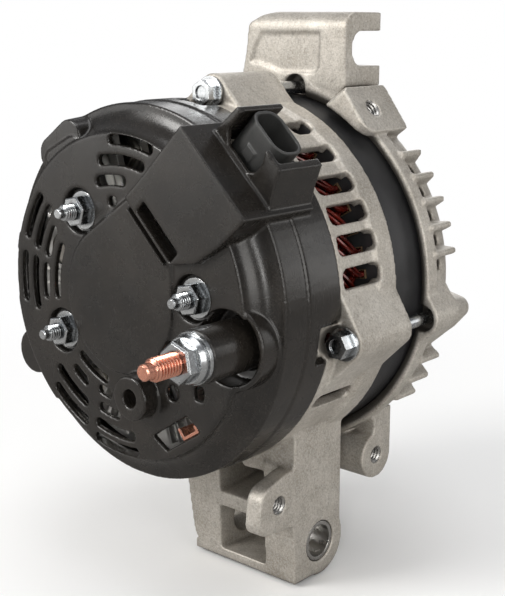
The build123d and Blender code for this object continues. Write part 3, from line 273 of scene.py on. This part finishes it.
def metal(name, base, dark, rough, brushed=None, scale=900.0,
          edge_colour=(0.95, 0.95, 0.93), stains=0.22, bump=0.10, groove_shade_reach=0.0012):
    """Machined, plated or drawn metal: fine tool marks, stains, bright edges."""
    mat = Material(name)
    clouds = mat.noise(scale=70.0, detail=3.0, rough=0.6)
    marks = mat.noise(scale=scale, detail=3.0, rough=0.6, stretch=brushed)
    spots = mat.noise(scale=1400.0, detail=2.0, rough=0.5)
    normal, edges = mat.edge(radius=0.0003)
    colour = mat.mix(base, mat.remap(clouds, span=(0.35, 0.72), to=(0.0, stains * 2)), over=dark)
    colour = mat.mix(colour, mat.remap(spots, span=(0.60, 0.78), to=(0.0, stains)), over=dark)
    colour = mat.tint(colour, edges, amount=0.6, over=edge_colour)
    # painted shade: darker in grooves and thread roots
    colour = mat.tint(colour, mat.painted_recess_shade(reach=groove_shade_reach), amount=0.85, over=scaled(dark, 0.16))
    return mat.set({
        "Base Color": colour,
        "Metallic": 1.0,
        "Roughness": mat.remap(marks, span=(0.25, 0.8), to=(rough - 0.08, rough + 0.12)),
        "Normal": mat.bump(marks, strength=bump, distance=0.00004, normal=normal),
    })


def laminated(name):
    """Steel sheets stacked along Y under dark varnish, with a seam at each sheet."""
    mat = Material(name)
    base = (0.020, 0.020, 0.021)
    sheets_per_metre = 1600.0
    axes = mat.node("ShaderNodeSeparateXYZ")
    mat.link(mat.coord, axes.inputs[0])
    wobble = mat.math("MULTIPLY", mat.noise(scale=160.0), 0.00012)
    along = mat.math("ADD", axes.outputs["Y"], wobble)
    phase = mat.math("FRACT", mat.math("MULTIPLY", along, sheets_per_metre))
    from_middle = mat.math("ABSOLUTE", mat.math("SUBTRACT", phase, 0.5))
    seams = mat.remap(from_middle, span=(0.30, 0.5))
    clouds = mat.noise(scale=40.0, detail=4.0, rough=0.6)
    streaks = mat.noise(scale=260.0, detail=3.0, rough=0.6, stretch=(1.0, 9.0, 1.0))
    colour = mat.mix(base, mat.remap(clouds, span=(0.3, 0.7)), over=scaled(base, 2.2))
    colour = mat.tint(colour, seams, over=(0.10, 0.10, 0.10),
                      amount=mat.remap(streaks, span=(0.4, 0.75), to=(0.05, 0.5)))
    normal, edges = mat.edge(radius=0.0004)
    colour = mat.tint(colour, edges, amount=0.25, over=(0.22, 0.21, 0.20))
    height = mat.math("ADD", seams, mat.math("MULTIPLY", streaks, 0.5))
    return mat.set({
        "Base Color": colour,
        "Metallic": 0.3,
        "Roughness": mat.remap(clouds, span=(0.3, 0.75), to=(0.34, 0.52)),
        "Normal": mat.bump(height, strength=0.30, distance=0.00012, normal=normal),
    })


def enamel(name):
    """Varnished magnet wire: deep red-brown under a clear coat, with varnish runs."""
    mat = Material(name)
    clouds = mat.noise(scale=120.0, detail=3.0, rough=0.6)
    runs = mat.noise(scale=480.0, detail=3.0, rough=0.6, stretch=(1.0, 0.4, 1.0))
    colour = mat.mix((0.040, 0.0035, 0.0028), mat.remap(clouds, span=(0.3, 0.7)),
                     over=(0.30, 0.022, 0.012))
    colour = mat.mix(colour, mat.remap(runs, span=(0.55, 0.78), to=(0.0, 0.7)),
                     over=(0.018, 0.003, 0.002))
    normal, edges = mat.edge(radius=0.0002)
    colour = mat.tint(colour, edges, amount=0.22, over=(0.50, 0.09, 0.05))
    # painted shade: near black in the narrow gaps between wires
    colour = mat.tint(colour, mat.painted_recess_shade(reach=0.006, span=(0.15, 0.6)), amount=0.8,
                      over=(0.006, 0.002, 0.0015))
    return mat.set({
        "Base Color": colour,
        "Metallic": 0.55,
        "Roughness": mat.remap(runs, span=(0.3, 0.7), to=(0.10, 0.26)),
        "Coat Weight": 0.8,
        "Coat Roughness": 0.08,
        "Normal": mat.bump(runs, strength=0.3, distance=0.00015, normal=normal),
    })


def soft(name, base, light, rough, scale=1100.0):
    """Rubber, carbon and paper: matt with fibre or pore grain."""
    mat = Material(name)
    clouds = mat.noise(scale=60.0, detail=3.0, rough=0.6)
    fine = mat.noise(scale=scale, detail=3.0, rough=0.65)
    normal, edges = mat.edge(radius=0.0003)
    colour = mat.mix(base, mat.remap(clouds, span=(0.3, 0.7)), over=light)
    colour = mat.mix(colour, mat.remap(fine, span=(0.5, 0.8), to=(0.0, 0.35)),
                     over=scaled(light, 1.8, lift=0.01))
    colour = mat.tint(colour, edges, amount=0.25, over=scaled(light, 2.2, lift=0.02))
    return mat.set({
        "Base Color": colour,
        "Roughness": mat.remap(fine, span=(0.3, 0.7), to=(rough - 0.1, rough + 0.12)),
        "Normal": mat.bump(fine, strength=0.3, distance=0.0001, normal=normal),
    })


# name, builder, its settings
MATERIAL_TABLE = (
    ("cover_plastic", plastic, dict(
        base=(0.0060, 0.0052, 0.0045), light=(0.0170, 0.0142, 0.0115), rough=0.25, grain=0.5)),
    ("connector_plastic", plastic, dict(
        base=(0.0200, 0.0205, 0.0200), light=(0.0420, 0.0425, 0.0415), rough=0.36, grain=0.65)),
    ("cast_alloy", cast_alloy, {}),
    ("zinc_steel", metal, dict(
        base=(0.60, 0.62, 0.635), dark=(0.30, 0.32, 0.335), rough=0.22)),
    ("bright_steel", metal, dict(
        base=(0.58, 0.57, 0.55), dark=(0.40, 0.385, 0.36), rough=0.30,
        stains=0.12, scale=420.0, bump=0.04)),
    ("copper", metal, dict(
        base=(0.95, 0.47, 0.34), dark=(0.66, 0.24, 0.16), rough=0.26,
        edge_colour=(1.0, 0.78, 0.68), groove_shade_reach=0.0007)),
    ("tinned_copper", metal, dict(
        base=(0.66, 0.63, 0.58), dark=(0.42, 0.38, 0.33), rough=0.32)),
    ("enamel_copper", enamel, {}),
    ("carbon", soft, dict(
        base=(0.018, 0.018, 0.019), light=(0.04, 0.04, 0.042), rough=0.55, scale=2200.0)),
    ("spring_steel", metal, dict(
        base=(0.45, 0.45, 0.46), dark=(0.25, 0.25, 0.26), rough=0.3)),
    ("sheet_aluminium", metal, dict(
        base=(0.72, 0.71, 0.69), dark=(0.50, 0.49, 0.47), rough=0.36,
        brushed=(1.0, 1.0, 14.0))),
    ("core_steel", laminated, {}),
    ("pole_steel", metal, dict(
        base=(0.22, 0.21, 0.20), dark=(0.11, 0.10, 0.10), rough=0.42,
        brushed=(1.0, 12.0, 1.0), scale=260.0)),
    ("sheet_steel", metal, dict(
        base=(0.20, 0.20, 0.205), dark=(0.09, 0.09, 0.09), rough=0.38, scale=500.0)),
    ("liner_paper", soft, dict(
        base=(0.070, 0.040, 0.018), light=(0.12, 0.075, 0.035), rough=0.62)),
    ("rubber", soft, dict(
        base=(0.012, 0.012, 0.012), light=(0.024, 0.024, 0.024), rough=0.72, scale=1500.0)),
)
MATERIALS = {name: build(name, **settings) for name, build, settings in MATERIAL_TABLE}


def paint(obj, slot):
    obj.data.materials.clear()
    obj.data.materials.append(MATERIALS[slot])


for node_name, node_object in NODES.items():
    paint(node_object, SLOT_OF[node_name])


# ---------------------------------------------------------------- mesh helpers
def fit(obj, slot):
    """Paints obj and fixes it to the housing."""
    paint(obj, slot)
    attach(obj, "housing")


def adopt(obj, cad_node, slot):
    """Makes obj stand for a CAD node."""
    fit(obj, slot)
    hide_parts(cad_node)


def smooth_faces(mesh):
    mesh.polygons.foreach_set("use_smooth", [True] * len(mesh.polygons))


def link_object(name, mesh):
    obj = bpy.data.objects.new(name, mesh)
    bpy.context.scene.collection.objects.link(obj)
    return obj


def new_object(name, verts, faces):
    mesh = bpy.data.meshes.new(name)
    mesh.from_pydata([tuple(map(float, vert)) for vert in verts], [], faces)
    mesh.validate()
    mesh.update()
    return link_object(name, mesh)


def join_parts(name, parts, crease=38):
    """One object from (verts, faces) parts, smooth except at edges over crease degrees."""
    verts, faces = [], []
    for part_verts, part_faces in parts:
        start = len(verts)
        verts += part_verts
        faces += [tuple(i + start for i in face) for face in part_faces]
    obj = new_object(name, verts, faces)
    bm = bmesh.new()
    bm.from_mesh(obj.data)
    bmesh.ops.recalc_face_normals(bm, faces=bm.faces)
    bm.to_mesh(obj.data)
    bm.free()
    smooth_faces(obj.data)
    obj.data.set_sharp_from_angle(angle=math.radians(crease))
    return obj


def band_faces(rings, count):
    """Quads joining successive closed rings of count points."""
    faces = []
    for i in range(rings - 1):
        for j in range(count):
            k = (j + 1) % count
            near, far = i * count, (i + 1) * count
            faces.append((near + j, near + k, far + k, far + j))
    return faces


def capped_bar(verts, count):
    """Bar through rings of count points, closed with a flat face at each end."""
    total = len(verts)
    faces = band_faces(total // count, count)
    faces.append(tuple(range(count - 1, -1, -1)))
    faces.append(tuple(range(total - count, total)))
    return verts, faces


def ridge(along, angle, pitch):
    """Helical wave: 0 halfway through each turn, rising to 1 at its ends."""
    return abs((along / pitch + angle / (2 * math.pi)) % 1.0 - 0.5) * 2.0


# ------------------------------------------------- rounded castings and mouldings
def rounded(cad_node, voxel, passes):
    """The CAD node's own shape with its edges softened like a casting or moulding."""
    name = cad_node + "_skin"
    mesh = NODES[cad_node].data.copy()
    mesh.name = name
    bm = bmesh.new()
    bm.from_mesh(mesh)
    bmesh.ops.remove_doubles(bm, verts=bm.verts, dist=2e-6)
    bm.to_mesh(mesh)
    bm.free()
    obj = link_object(name, mesh)
    remesh = obj.modifiers.new("remesh", "REMESH")
    remesh.mode = "VOXEL"
    remesh.voxel_size = voxel
    remesh.adaptivity = 0.0
    smooth = obj.modifiers.new("smooth", "SMOOTH")
    smooth.factor = 0.5
    smooth.iterations = passes
    graph = bpy.context.evaluated_depsgraph_get()
    baked = bpy.data.meshes.new_from_object(obj.evaluated_get(graph))
    obj.modifiers.clear()
    obj.data = baked
    baked.name = name
    smooth_faces(baked)
    adopt(obj, cad_node, SLOT_OF[cad_node])


rounded("rear_cover", voxel=0.00045, passes=5)
rounded("rear_frame", voxel=0.0006, passes=5)
rounded("drive_end_frame", voxel=0.0006, passes=5)
rounded("regulator", voxel=0.0003, passes=4)


# --------------------------------------------------------------- threaded studs
def threaded(centre, profile, thread, radius, pitch, depth, count=48):
    """Round bar along Y. profile: (y, radius) rows from front to rear; thread: its
    front and rear y."""
    centre_x, centre_z = centre
    thread_front, thread_rear = thread
    rows_per_pitch = 9.0
    core = radius - 1.6    # stretches thicker than this are finely divided
    stations = []
    for (y_a, r_a), (y_b, r_b) in zip(profile[:-1], profile[1:]):
        steps = 1
        if r_a > core and r_b > core:
            steps = max(1, int((y_a - y_b) / (pitch / rows_per_pitch)))
        for i in range(steps):
            part = i / steps
            stations.append((y_a + (y_b - y_a) * part, r_a + (r_b - r_a) * part))
    stations.append(profile[-1])
    verts = []
    for y, bar_radius in stations:
        for j in range(count):
            angle = 2 * math.pi * j / count
            r = bar_radius
            if thread_rear <= y <= thread_front:
                # flat crests and roots, fading in over the first pitch
                cut = min(max((ridge(y, angle, pitch) - 0.12) / 0.76, 0.0), 1.0)
                fade = min(1.0, (thread_front - y) / pitch)
                r = min(bar_radius, radius - depth * cut * fade)
            verts.append(((centre_x + r * math.cos(angle)) * MM, y * MM,
                          (centre_z + r * math.sin(angle)) * MM))
    faces = band_faces(len(stations), count)
    front, rear = len(verts), len(verts) + 1
    last = front - count
    for y in (stations[0][0], stations[-1][0]):
        verts.append((centre_x * MM, y * MM, centre_z * MM))
    for j in range(count):
        k = (j + 1) % count
        faces.append((front, k, j))
        faces.append((rear, last + j, last + k))
    return verts, faces


def square_block(centre, width, y_ends, bevel=0.6):
    """Square bar along Y with bevelled corners."""
    half = width / 2
    flat = half - bevel
    section = [(-flat, -half), (flat, -half), (half, -flat), (half, flat),
               (flat, half), (-flat, half), (-half, flat), (-half, -flat)]
    verts = [((centre[0] + x) * MM, y * MM, (centre[1] + z) * MM)
             for y in y_ends for x, z in section]
    return capped_bar(verts, len(section))


B_PLUS = (51.0, -8.5)    # x, z
BLOCK_FRONT, BLOCK_REAR = -49.7, -53.9
B_PLUS_PROFILE = [
    (BLOCK_REAR, 4.0), (-72.0, 4.0), (-103.3, 4.0), (-104.3, 3.0),
    (-104.35, 2.75), (-107.2, 2.7), (-107.7, 2.2),
]
b_plus_parts = [
    threaded(B_PLUS, B_PLUS_PROFILE, thread=(-89.0, -104.2), radius=3.95, pitch=1.25,
             depth=0.85),
    square_block(B_PLUS, width=12.4, y_ends=(BLOCK_FRONT, BLOCK_REAR)),
]
adopt(join_parts("b_plus_stud_thread", b_plus_parts), "b_plus_stud", "copper")

COVER_STUD_CIRCLE = 36.0
COVER_STUD_ANGLES = (125.0, 207.5, 9.0)    # degrees from +X towards +Z
COVER_STUD_PROFILE = [
    (-37.05, 3.0), (-60.0, 3.0), (-77.0, 3.0), (-77.5, 2.4),
    (-77.52, 1.9), (-79.6, 1.85), (-80.0, 1.5),
]
cover_stud_parts = [
    threaded((COVER_STUD_CIRCLE * math.cos(math.radians(degrees)),
              COVER_STUD_CIRCLE * math.sin(math.radians(degrees))),
             COVER_STUD_PROFILE, thread=(-70.0, -77.4), radius=3.0, pitch=1.0, depth=0.68)
    for degrees in COVER_STUD_ANGLES
]
adopt(join_parts("cover_studs_thread", cover_stud_parts), "cover_studs", "zinc_steel")


# ---------------------------------------------------------------- tapped holes
HOLE_RADIUS = 3.4
HOLE_PITCH = 1.25
HOLE_RIDGE = 0.75
HOLE_MOUTH_GAP, HOLE_END_GAP = 0.35, 0.05    # lining stops short of the hole's ends


def tapped(name, mouth, axis, length, count=40):
    """Thin lining with a helical ridge; mouth is the hole's centre, axis points out."""
    out = np.array(axis, float)
    out /= np.linalg.norm(out)
    side = np.cross(out, (0.0, 0.0, 1.0))
    side /= np.linalg.norm(side)
    other = np.cross(out, side)

    def point(deep, radius, angle):
        across = side * math.cos(angle) + other * math.sin(angle)
        return (np.array(mouth) - out * deep + across * radius) * MM

    angles = [2 * math.pi * j / count for j in range(count)]
    rows = int(length / HOLE_PITCH * 8)
    verts = []
    for i in range(rows + 1):
        deep = HOLE_MOUTH_GAP + (length - HOLE_MOUTH_GAP - HOLE_END_GAP) * i / rows
        fade = min(1.0, (deep - HOLE_MOUTH_GAP) / HOLE_PITCH + 0.15)
        for angle in angles:
            crest = max(0.0, 1.0 - ridge(deep, angle, HOLE_PITCH) - 0.1)
            radius = HOLE_RADIUS - 0.04 - HOLE_RIDGE * crest * fade
            verts.append(point(deep, radius, angle))
    faces = band_faces(rows + 1, count)
    # an outer sleeve closes the ridge into a thin solid
    near = len(verts)
    far = near + count
    last = rows * count
    for deep in (HOLE_MOUTH_GAP, length - HOLE_END_GAP):
        verts += [point(deep, HOLE_RADIUS - 0.01, angle) for angle in angles]
    for j in range(count):
        k = (j + 1) % count
        faces.append((near + j, near + k, far + k, far + j))
        faces.append((j, k, near + k, near + j))
        faces.append((last + k, last + j, far + j, far + k))
    fit(join_parts(name, [(verts, faces)]), "bright_steel")


# the block hole's axis is tilted from +X towards +Z
BLOCK_COS, BLOCK_SIN = math.cos(math.radians(36.3)), math.sin(math.radians(36.3))
BLOCK_OUT, BLOCK_ACROSS = 73.2, 26.2    # mouth: along the tilted axis, and square to it
BLOCK_MOUTH = (BLOCK_OUT * BLOCK_COS - BLOCK_ACROSS * BLOCK_SIN, 20.1,
               BLOCK_OUT * BLOCK_SIN + BLOCK_ACROSS * BLOCK_COS)
tapped("tab_hole_thread", mouth=(47.5, -38.0, -75.1), axis=(1, 0, 0), length=7.0)
tapped("lug_hole_thread", mouth=(47.5, 22.0, -72.6), axis=(1, 0, 0), length=14.0)
tapped("block_hole_thread", mouth=BLOCK_MOUTH, axis=(BLOCK_COS, 0, BLOCK_SIN), length=6.0)


# -------------------------------------------------------------------- windings
# unit section of a rounded bar: sideways, up
BAR_SECTION = [(-0.5, -0.28), (-0.28, -0.5), (0.28, -0.5), (0.5, -0.28),
               (0.5, 0.28), (0.28, 0.5), (-0.28, 0.5), (-0.5, 0.28)]


def strand(path, width, thick, ups):
    """Rounded bar swept along path; ups gives the direction of its thickness."""
    points = np.array(path, float)
    tangents = np.gradient(points, axis=0)
    tangents /= np.linalg.norm(tangents, axis=1)[:, None]
    ups = np.array(ups, float)
    ups -= (ups * tangents).sum(1)[:, None] * tangents
    ups /= np.linalg.norm(ups, axis=1)[:, None]
    sides = np.cross(tangents, ups)
    verts = [(point + side * a * width + up * b * thick) * MM
             for point, up, side in zip(points, ups, sides) for a, b in BAR_SECTION]
    return capped_bar(verts, len(BAR_SECTION))


def around(radius, angle, y=0.0):
    """Point at a radius and angle about the Y axis."""
    return (radius * math.cos(angle), y, radius * math.sin(angle))


SLOTS = 48
SLOT_STEP = 2 * math.pi / SLOTS
LAYER_RADII = (54.6, 57.1, 59.6, 61.6)
SLANT = 1.5           # slots a wire crosses on its way to the top of the end turn
LEAN = 2.16           # how fast paired layers lean together beyond LEAN_FROM
LEAN_FROM = 0.8
SLOT_BAR_Y = (-9.7, 0.0, 12.0, 25.7)
# y at the core, y of the tops, y from the tops to the joints
WINDING_ENDS = ((-9.8, -26.6, 0.9), (25.6, 32.8, -0.6))
# wires per slot: sideways bow in slots, width
SINGLE_WIRE = ((0.0, 2.0),)
TWIN_WIRES = ((-0.20, 1.35), (0.20, 1.35))
# an end-turn wire: fraction of the slant, fraction of the rise
CLIMB = ([(0.0, -0.02), (0.0, 0.10)]
         + [(part, 0.12 + 0.80 * part) for part in np.linspace(0.05, 1.0, 7)]
         + [(1.04, 0.97), (1.05, 1.0)])


def end_wire(layer, slot, bow, width, y_core, y_top):
    """One wire slanting from its slot to the top of the end turn."""
    way = -1 if layer % 2 == 0 else 1
    path, ups = [], []
    for part, rise in CLIMB:
        bowed = bow * math.sin(math.pi * max(rise, 0.0))
        angle = slot * SLOT_STEP + (way * part * SLANT + bowed) * SLOT_STEP
        radius = LAYER_RADII[layer] - way * LEAN * max(0.0, rise - LEAN_FROM)
        path.append(around(radius, angle, y_core + (y_top - y_core) * rise))
        ups.append(around(1.0, angle))
    return strand(path, width, 1.7, ups)


def winding():
    parts = []
    for y_core, y_top, joint_rise in WINDING_ENDS:
        for layer in range(len(LAYER_RADII)):
            # each bar of the two outer layers leaves its slot as a pair of wires
            wires = SINGLE_WIRE if layer < 2 else TWIN_WIRES
            for slot in range(SLOTS):
                for bow, width in wires:
                    parts.append(end_wire(layer, slot, bow, width, y_core, y_top))
        # radial joints between the bar ends
        for inner, outer in (LAYER_RADII[:2], LAYER_RADII[2:]):
            middle = (inner + outer) / 2
            for slot in range(SLOTS):
                angle = (slot + SLANT) * SLOT_STEP
                path = [around(middle + reach, angle, y_top + joint_rise)
                        for reach in (-1.6, -0.6, 0.6, 1.6)]
                parts.append(strand(path, 1.8, 1.6, [(0, 1, 0)] * len(path)))
    # straight bars in the slots
    for slot in range(SLOTS):
        angle = slot * SLOT_STEP
        for radius in LAYER_RADII:
            path = [around(radius, angle, y) for y in SLOT_BAR_Y]
            parts.append(strand(path, 2.1, 1.9, [around(1.0, angle)] * len(path)))
    return join_parts("winding_bars", parts)


adopt(winding(), "stator_winding", "enamel_copper")


# --------------------------------------------------------------- brush springs
DIAGONAL = 0.70710678                # the springs lie midway between +X and +Z
SPRING_START, SPRING_END = 22.0, 37.9    # distances from the Y axis
SPRING_GAP = 0.3                     # at each end
SPRING_RADIUS = 1.75
SPRING_WIRE = 0.56
SPRING_TURNS = 6.0
STEPS_PER_TURN = 20


def brush_spring(cad_node, spring_y):
    along = np.array((DIAGONAL, 0, DIAGONAL))
    level = np.array((0, 1.0, 0))
    across = np.array((-DIAGONAL, 0, DIAGONAL))
    steps = int(SPRING_TURNS * STEPS_PER_TURN)
    path, ups = [], []
    for i in range(steps + 1):
        part = i / steps
        angle = 2 * math.pi * SPRING_TURNS * part
        lead = SPRING_GAP + (SPRING_END - SPRING_START - 2 * SPRING_GAP) * part
        outward = level * math.cos(angle) + across * math.sin(angle)
        centre = along * (SPRING_START + lead) + level * spring_y
        path.append(centre + outward * SPRING_RADIUS)
        ups.append(outward)
    obj = join_parts(cad_node + "_coil", [strand(path, SPRING_WIRE, SPRING_WIRE, ups)])
    adopt(obj, cad_node, "spring_steel")
    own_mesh(obj)


brush_spring("brush_spring_rear", -58.5)
brush_spring("brush_spring_front", -50.5)

# ----------------------------------------------------------------------- floor
FLOOR_Z = CAD_BOX[0][2] - 0.0005    # just under the lowest point
FLOOR_HALF = 6.0
FLOOR_CELLS = 40


def floor_paper():
    """Pale paper, duller in reflections, that runs out into the white backdrop."""
    mat = Material("floor_paper")
    clouds = mat.remap(mat.noise(scale=3.0, detail=3.0), span=(0.3, 0.7))
    mat.set({
        "Base Color": mat.mix((0.90, 0.90, 0.895), clouds, over=(0.93, 0.93, 0.925)),
        "Normal": mat.bump(mat.noise(scale=400.0), strength=0.05, distance=0.0002),
        "Roughness": 0.9,
        "Specular IOR Level": 0.1,
    })
    dull = mat.node("ShaderNodeBsdfDiffuse")
    mat.feed(dull.inputs["Color"], (0.34, 0.33, 0.32))
    paper = mat.mix_shader(mat.ray("Is Glossy Ray"), mat.principled.outputs[0],
                           dull.outputs[0])
    glow = mat.emitter("ShaderNodeEmission", colour=(1, 1, 1), strength=1.0)
    distance = mat.node("ShaderNodeVectorMath", operation="LENGTH")
    mat.link(mat.coord, distance.inputs[0])
    fade = mat.remap(distance.outputs["Value"], span=(0.13, 0.42))
    mask = mat.math("MULTIPLY", fade, mat.ray("Is Camera Ray"))
    mat.link(mat.mix_shader(mask, paper, glow), mat.output.inputs[0])
    return mat.material


def floor():
    stations = [-FLOOR_HALF + 2 * FLOOR_HALF * i / FLOOR_CELLS for i in range(FLOOR_CELLS + 1)]
    verts = [(x, y, FLOOR_Z) for x in stations for y in stations]
    row = len(stations)
    faces = []
    for i in range(FLOOR_CELLS):
        for j in range(FLOOR_CELLS):
            corner = i * row + j
            faces.append((corner, corner + row, corner + row + 1, corner + 1))
    obj = new_object("floor", verts, faces)
    obj.data.materials.append(floor_paper())


floor()
scene = bpy.context.scene


# ------------------------------------------------------------- world and lights
def studio_world():
    """White to the camera; a soft grey, brighter overhead, to every other ray."""
    world = bpy.data.worlds.new("studio")
    nodes = Nodes(world)
    output = nodes.node("ShaderNodeOutputWorld")
    backdrop = nodes.emitter("ShaderNodeBackground", colour=(1, 1, 1), strength=1.0)
    axes = nodes.node("ShaderNodeSeparateXYZ")
    nodes.link(nodes.node("ShaderNodeTexCoord").outputs["Generated"], axes.inputs[0])
    ramp = nodes.node("ShaderNodeValToRGB")
    low, high = ramp.color_ramp.elements
    low.position, low.color = 0.35, (0.50, 0.50, 0.50, 1)
    high.position, high.color = 0.95, (0.95, 0.96, 1.0, 1)
    nodes.link(nodes.remap(axes.outputs["Z"], span=(-1.0, 1.0)), ramp.inputs[0])
    ambient = nodes.emitter("ShaderNodeBackground", colour=ramp.outputs[0], strength=0.30)
    mixed = nodes.mix_shader(nodes.ray("Is Camera Ray"), ambient, backdrop)
    nodes.link(mixed, output.inputs[0])
    return world


scene.world = studio_world()

WHITE, WARM, FAINT_WARM = (1, 1, 1), (1.0, 0.985, 0.96), (1.0, 0.99, 0.97)
# name, place, target, size, second size (None for a square), watts, colour
LIGHTS = (
    ("key", (-0.60, -1.15, 0.80), (0, -0.02, 0), 0.62, None, 16.0, WARM),
    ("low_left", (-0.86, -0.92, 0.16), (0, -0.02, 0.02), 0.70, 0.50, 1.9, WARM),
    ("fill_right", (1.2, -0.25, 0.35), (0, 0, 0), 0.8, None, 6.0, (1.0, 0.98, 0.95)),
    ("rim_right", (0.80, 0.95, 0.22), (0.03, 0, 0), 0.35, 0.6, 1.0, FAINT_WARM),
    ("top", (0.1, 0.1, 1.3), (0, 0, 0), 0.9, None, 6.0, WHITE),
    ("back", (-0.6, 1.2, 0.5), (0, 0, 0), 0.9, None, 5.0, WHITE),
    ("strip", (0.66, -0.98, 0.30), (0.02, -0.02, 0.0), 0.16, 0.75, 3.4, FAINT_WARM),
)
for name, place, target, size, size_y, watts, colour in LIGHTS:
    light = bpy.data.lights.new(name, "AREA")
    light.energy = watts
    light.color = colour
    light.size = size
    if size_y:
        light.shape = "RECTANGLE"
        light.size_y = size_y
    lamp = link_object(name, light)
    lamp.location = place
    lamp.rotation_mode = "QUATERNION"
    lamp.rotation_quaternion = (Vector(target) - Vector(place)).to_track_quat("-Z", "Y")

# ---------------------------------------------------------------------- camera
turn = math.radians(41.273)     # from -Y towards +X
height = math.radians(13.164)   # above the horizon
backward = Vector((math.sin(turn) * math.cos(height),
                   -math.cos(turn) * math.cos(height),
                   math.sin(height)))
right = Vector((math.cos(turn), math.sin(turn), 0))
up = backward.cross(right)
lens = bpy.data.cameras.new("view")
lens.sensor_width = 36.0
lens.lens = 70.332886
lens.clip_start = 0.01
lens.clip_end = 20.0
camera = link_object("view", lens)
camera.location = (0.29962, -0.34019, 0.09424)
camera.rotation_mode = "QUATERNION"
camera.rotation_quaternion = Matrix((right, up, backward)).transposed().to_quaternion()
scene.camera = camera

scene.view_settings.view_transform = "Standard"
scene.view_settings.look = "None"
scene.view_settings.exposure = 0.0
scene.view_settings.gamma = 1.0
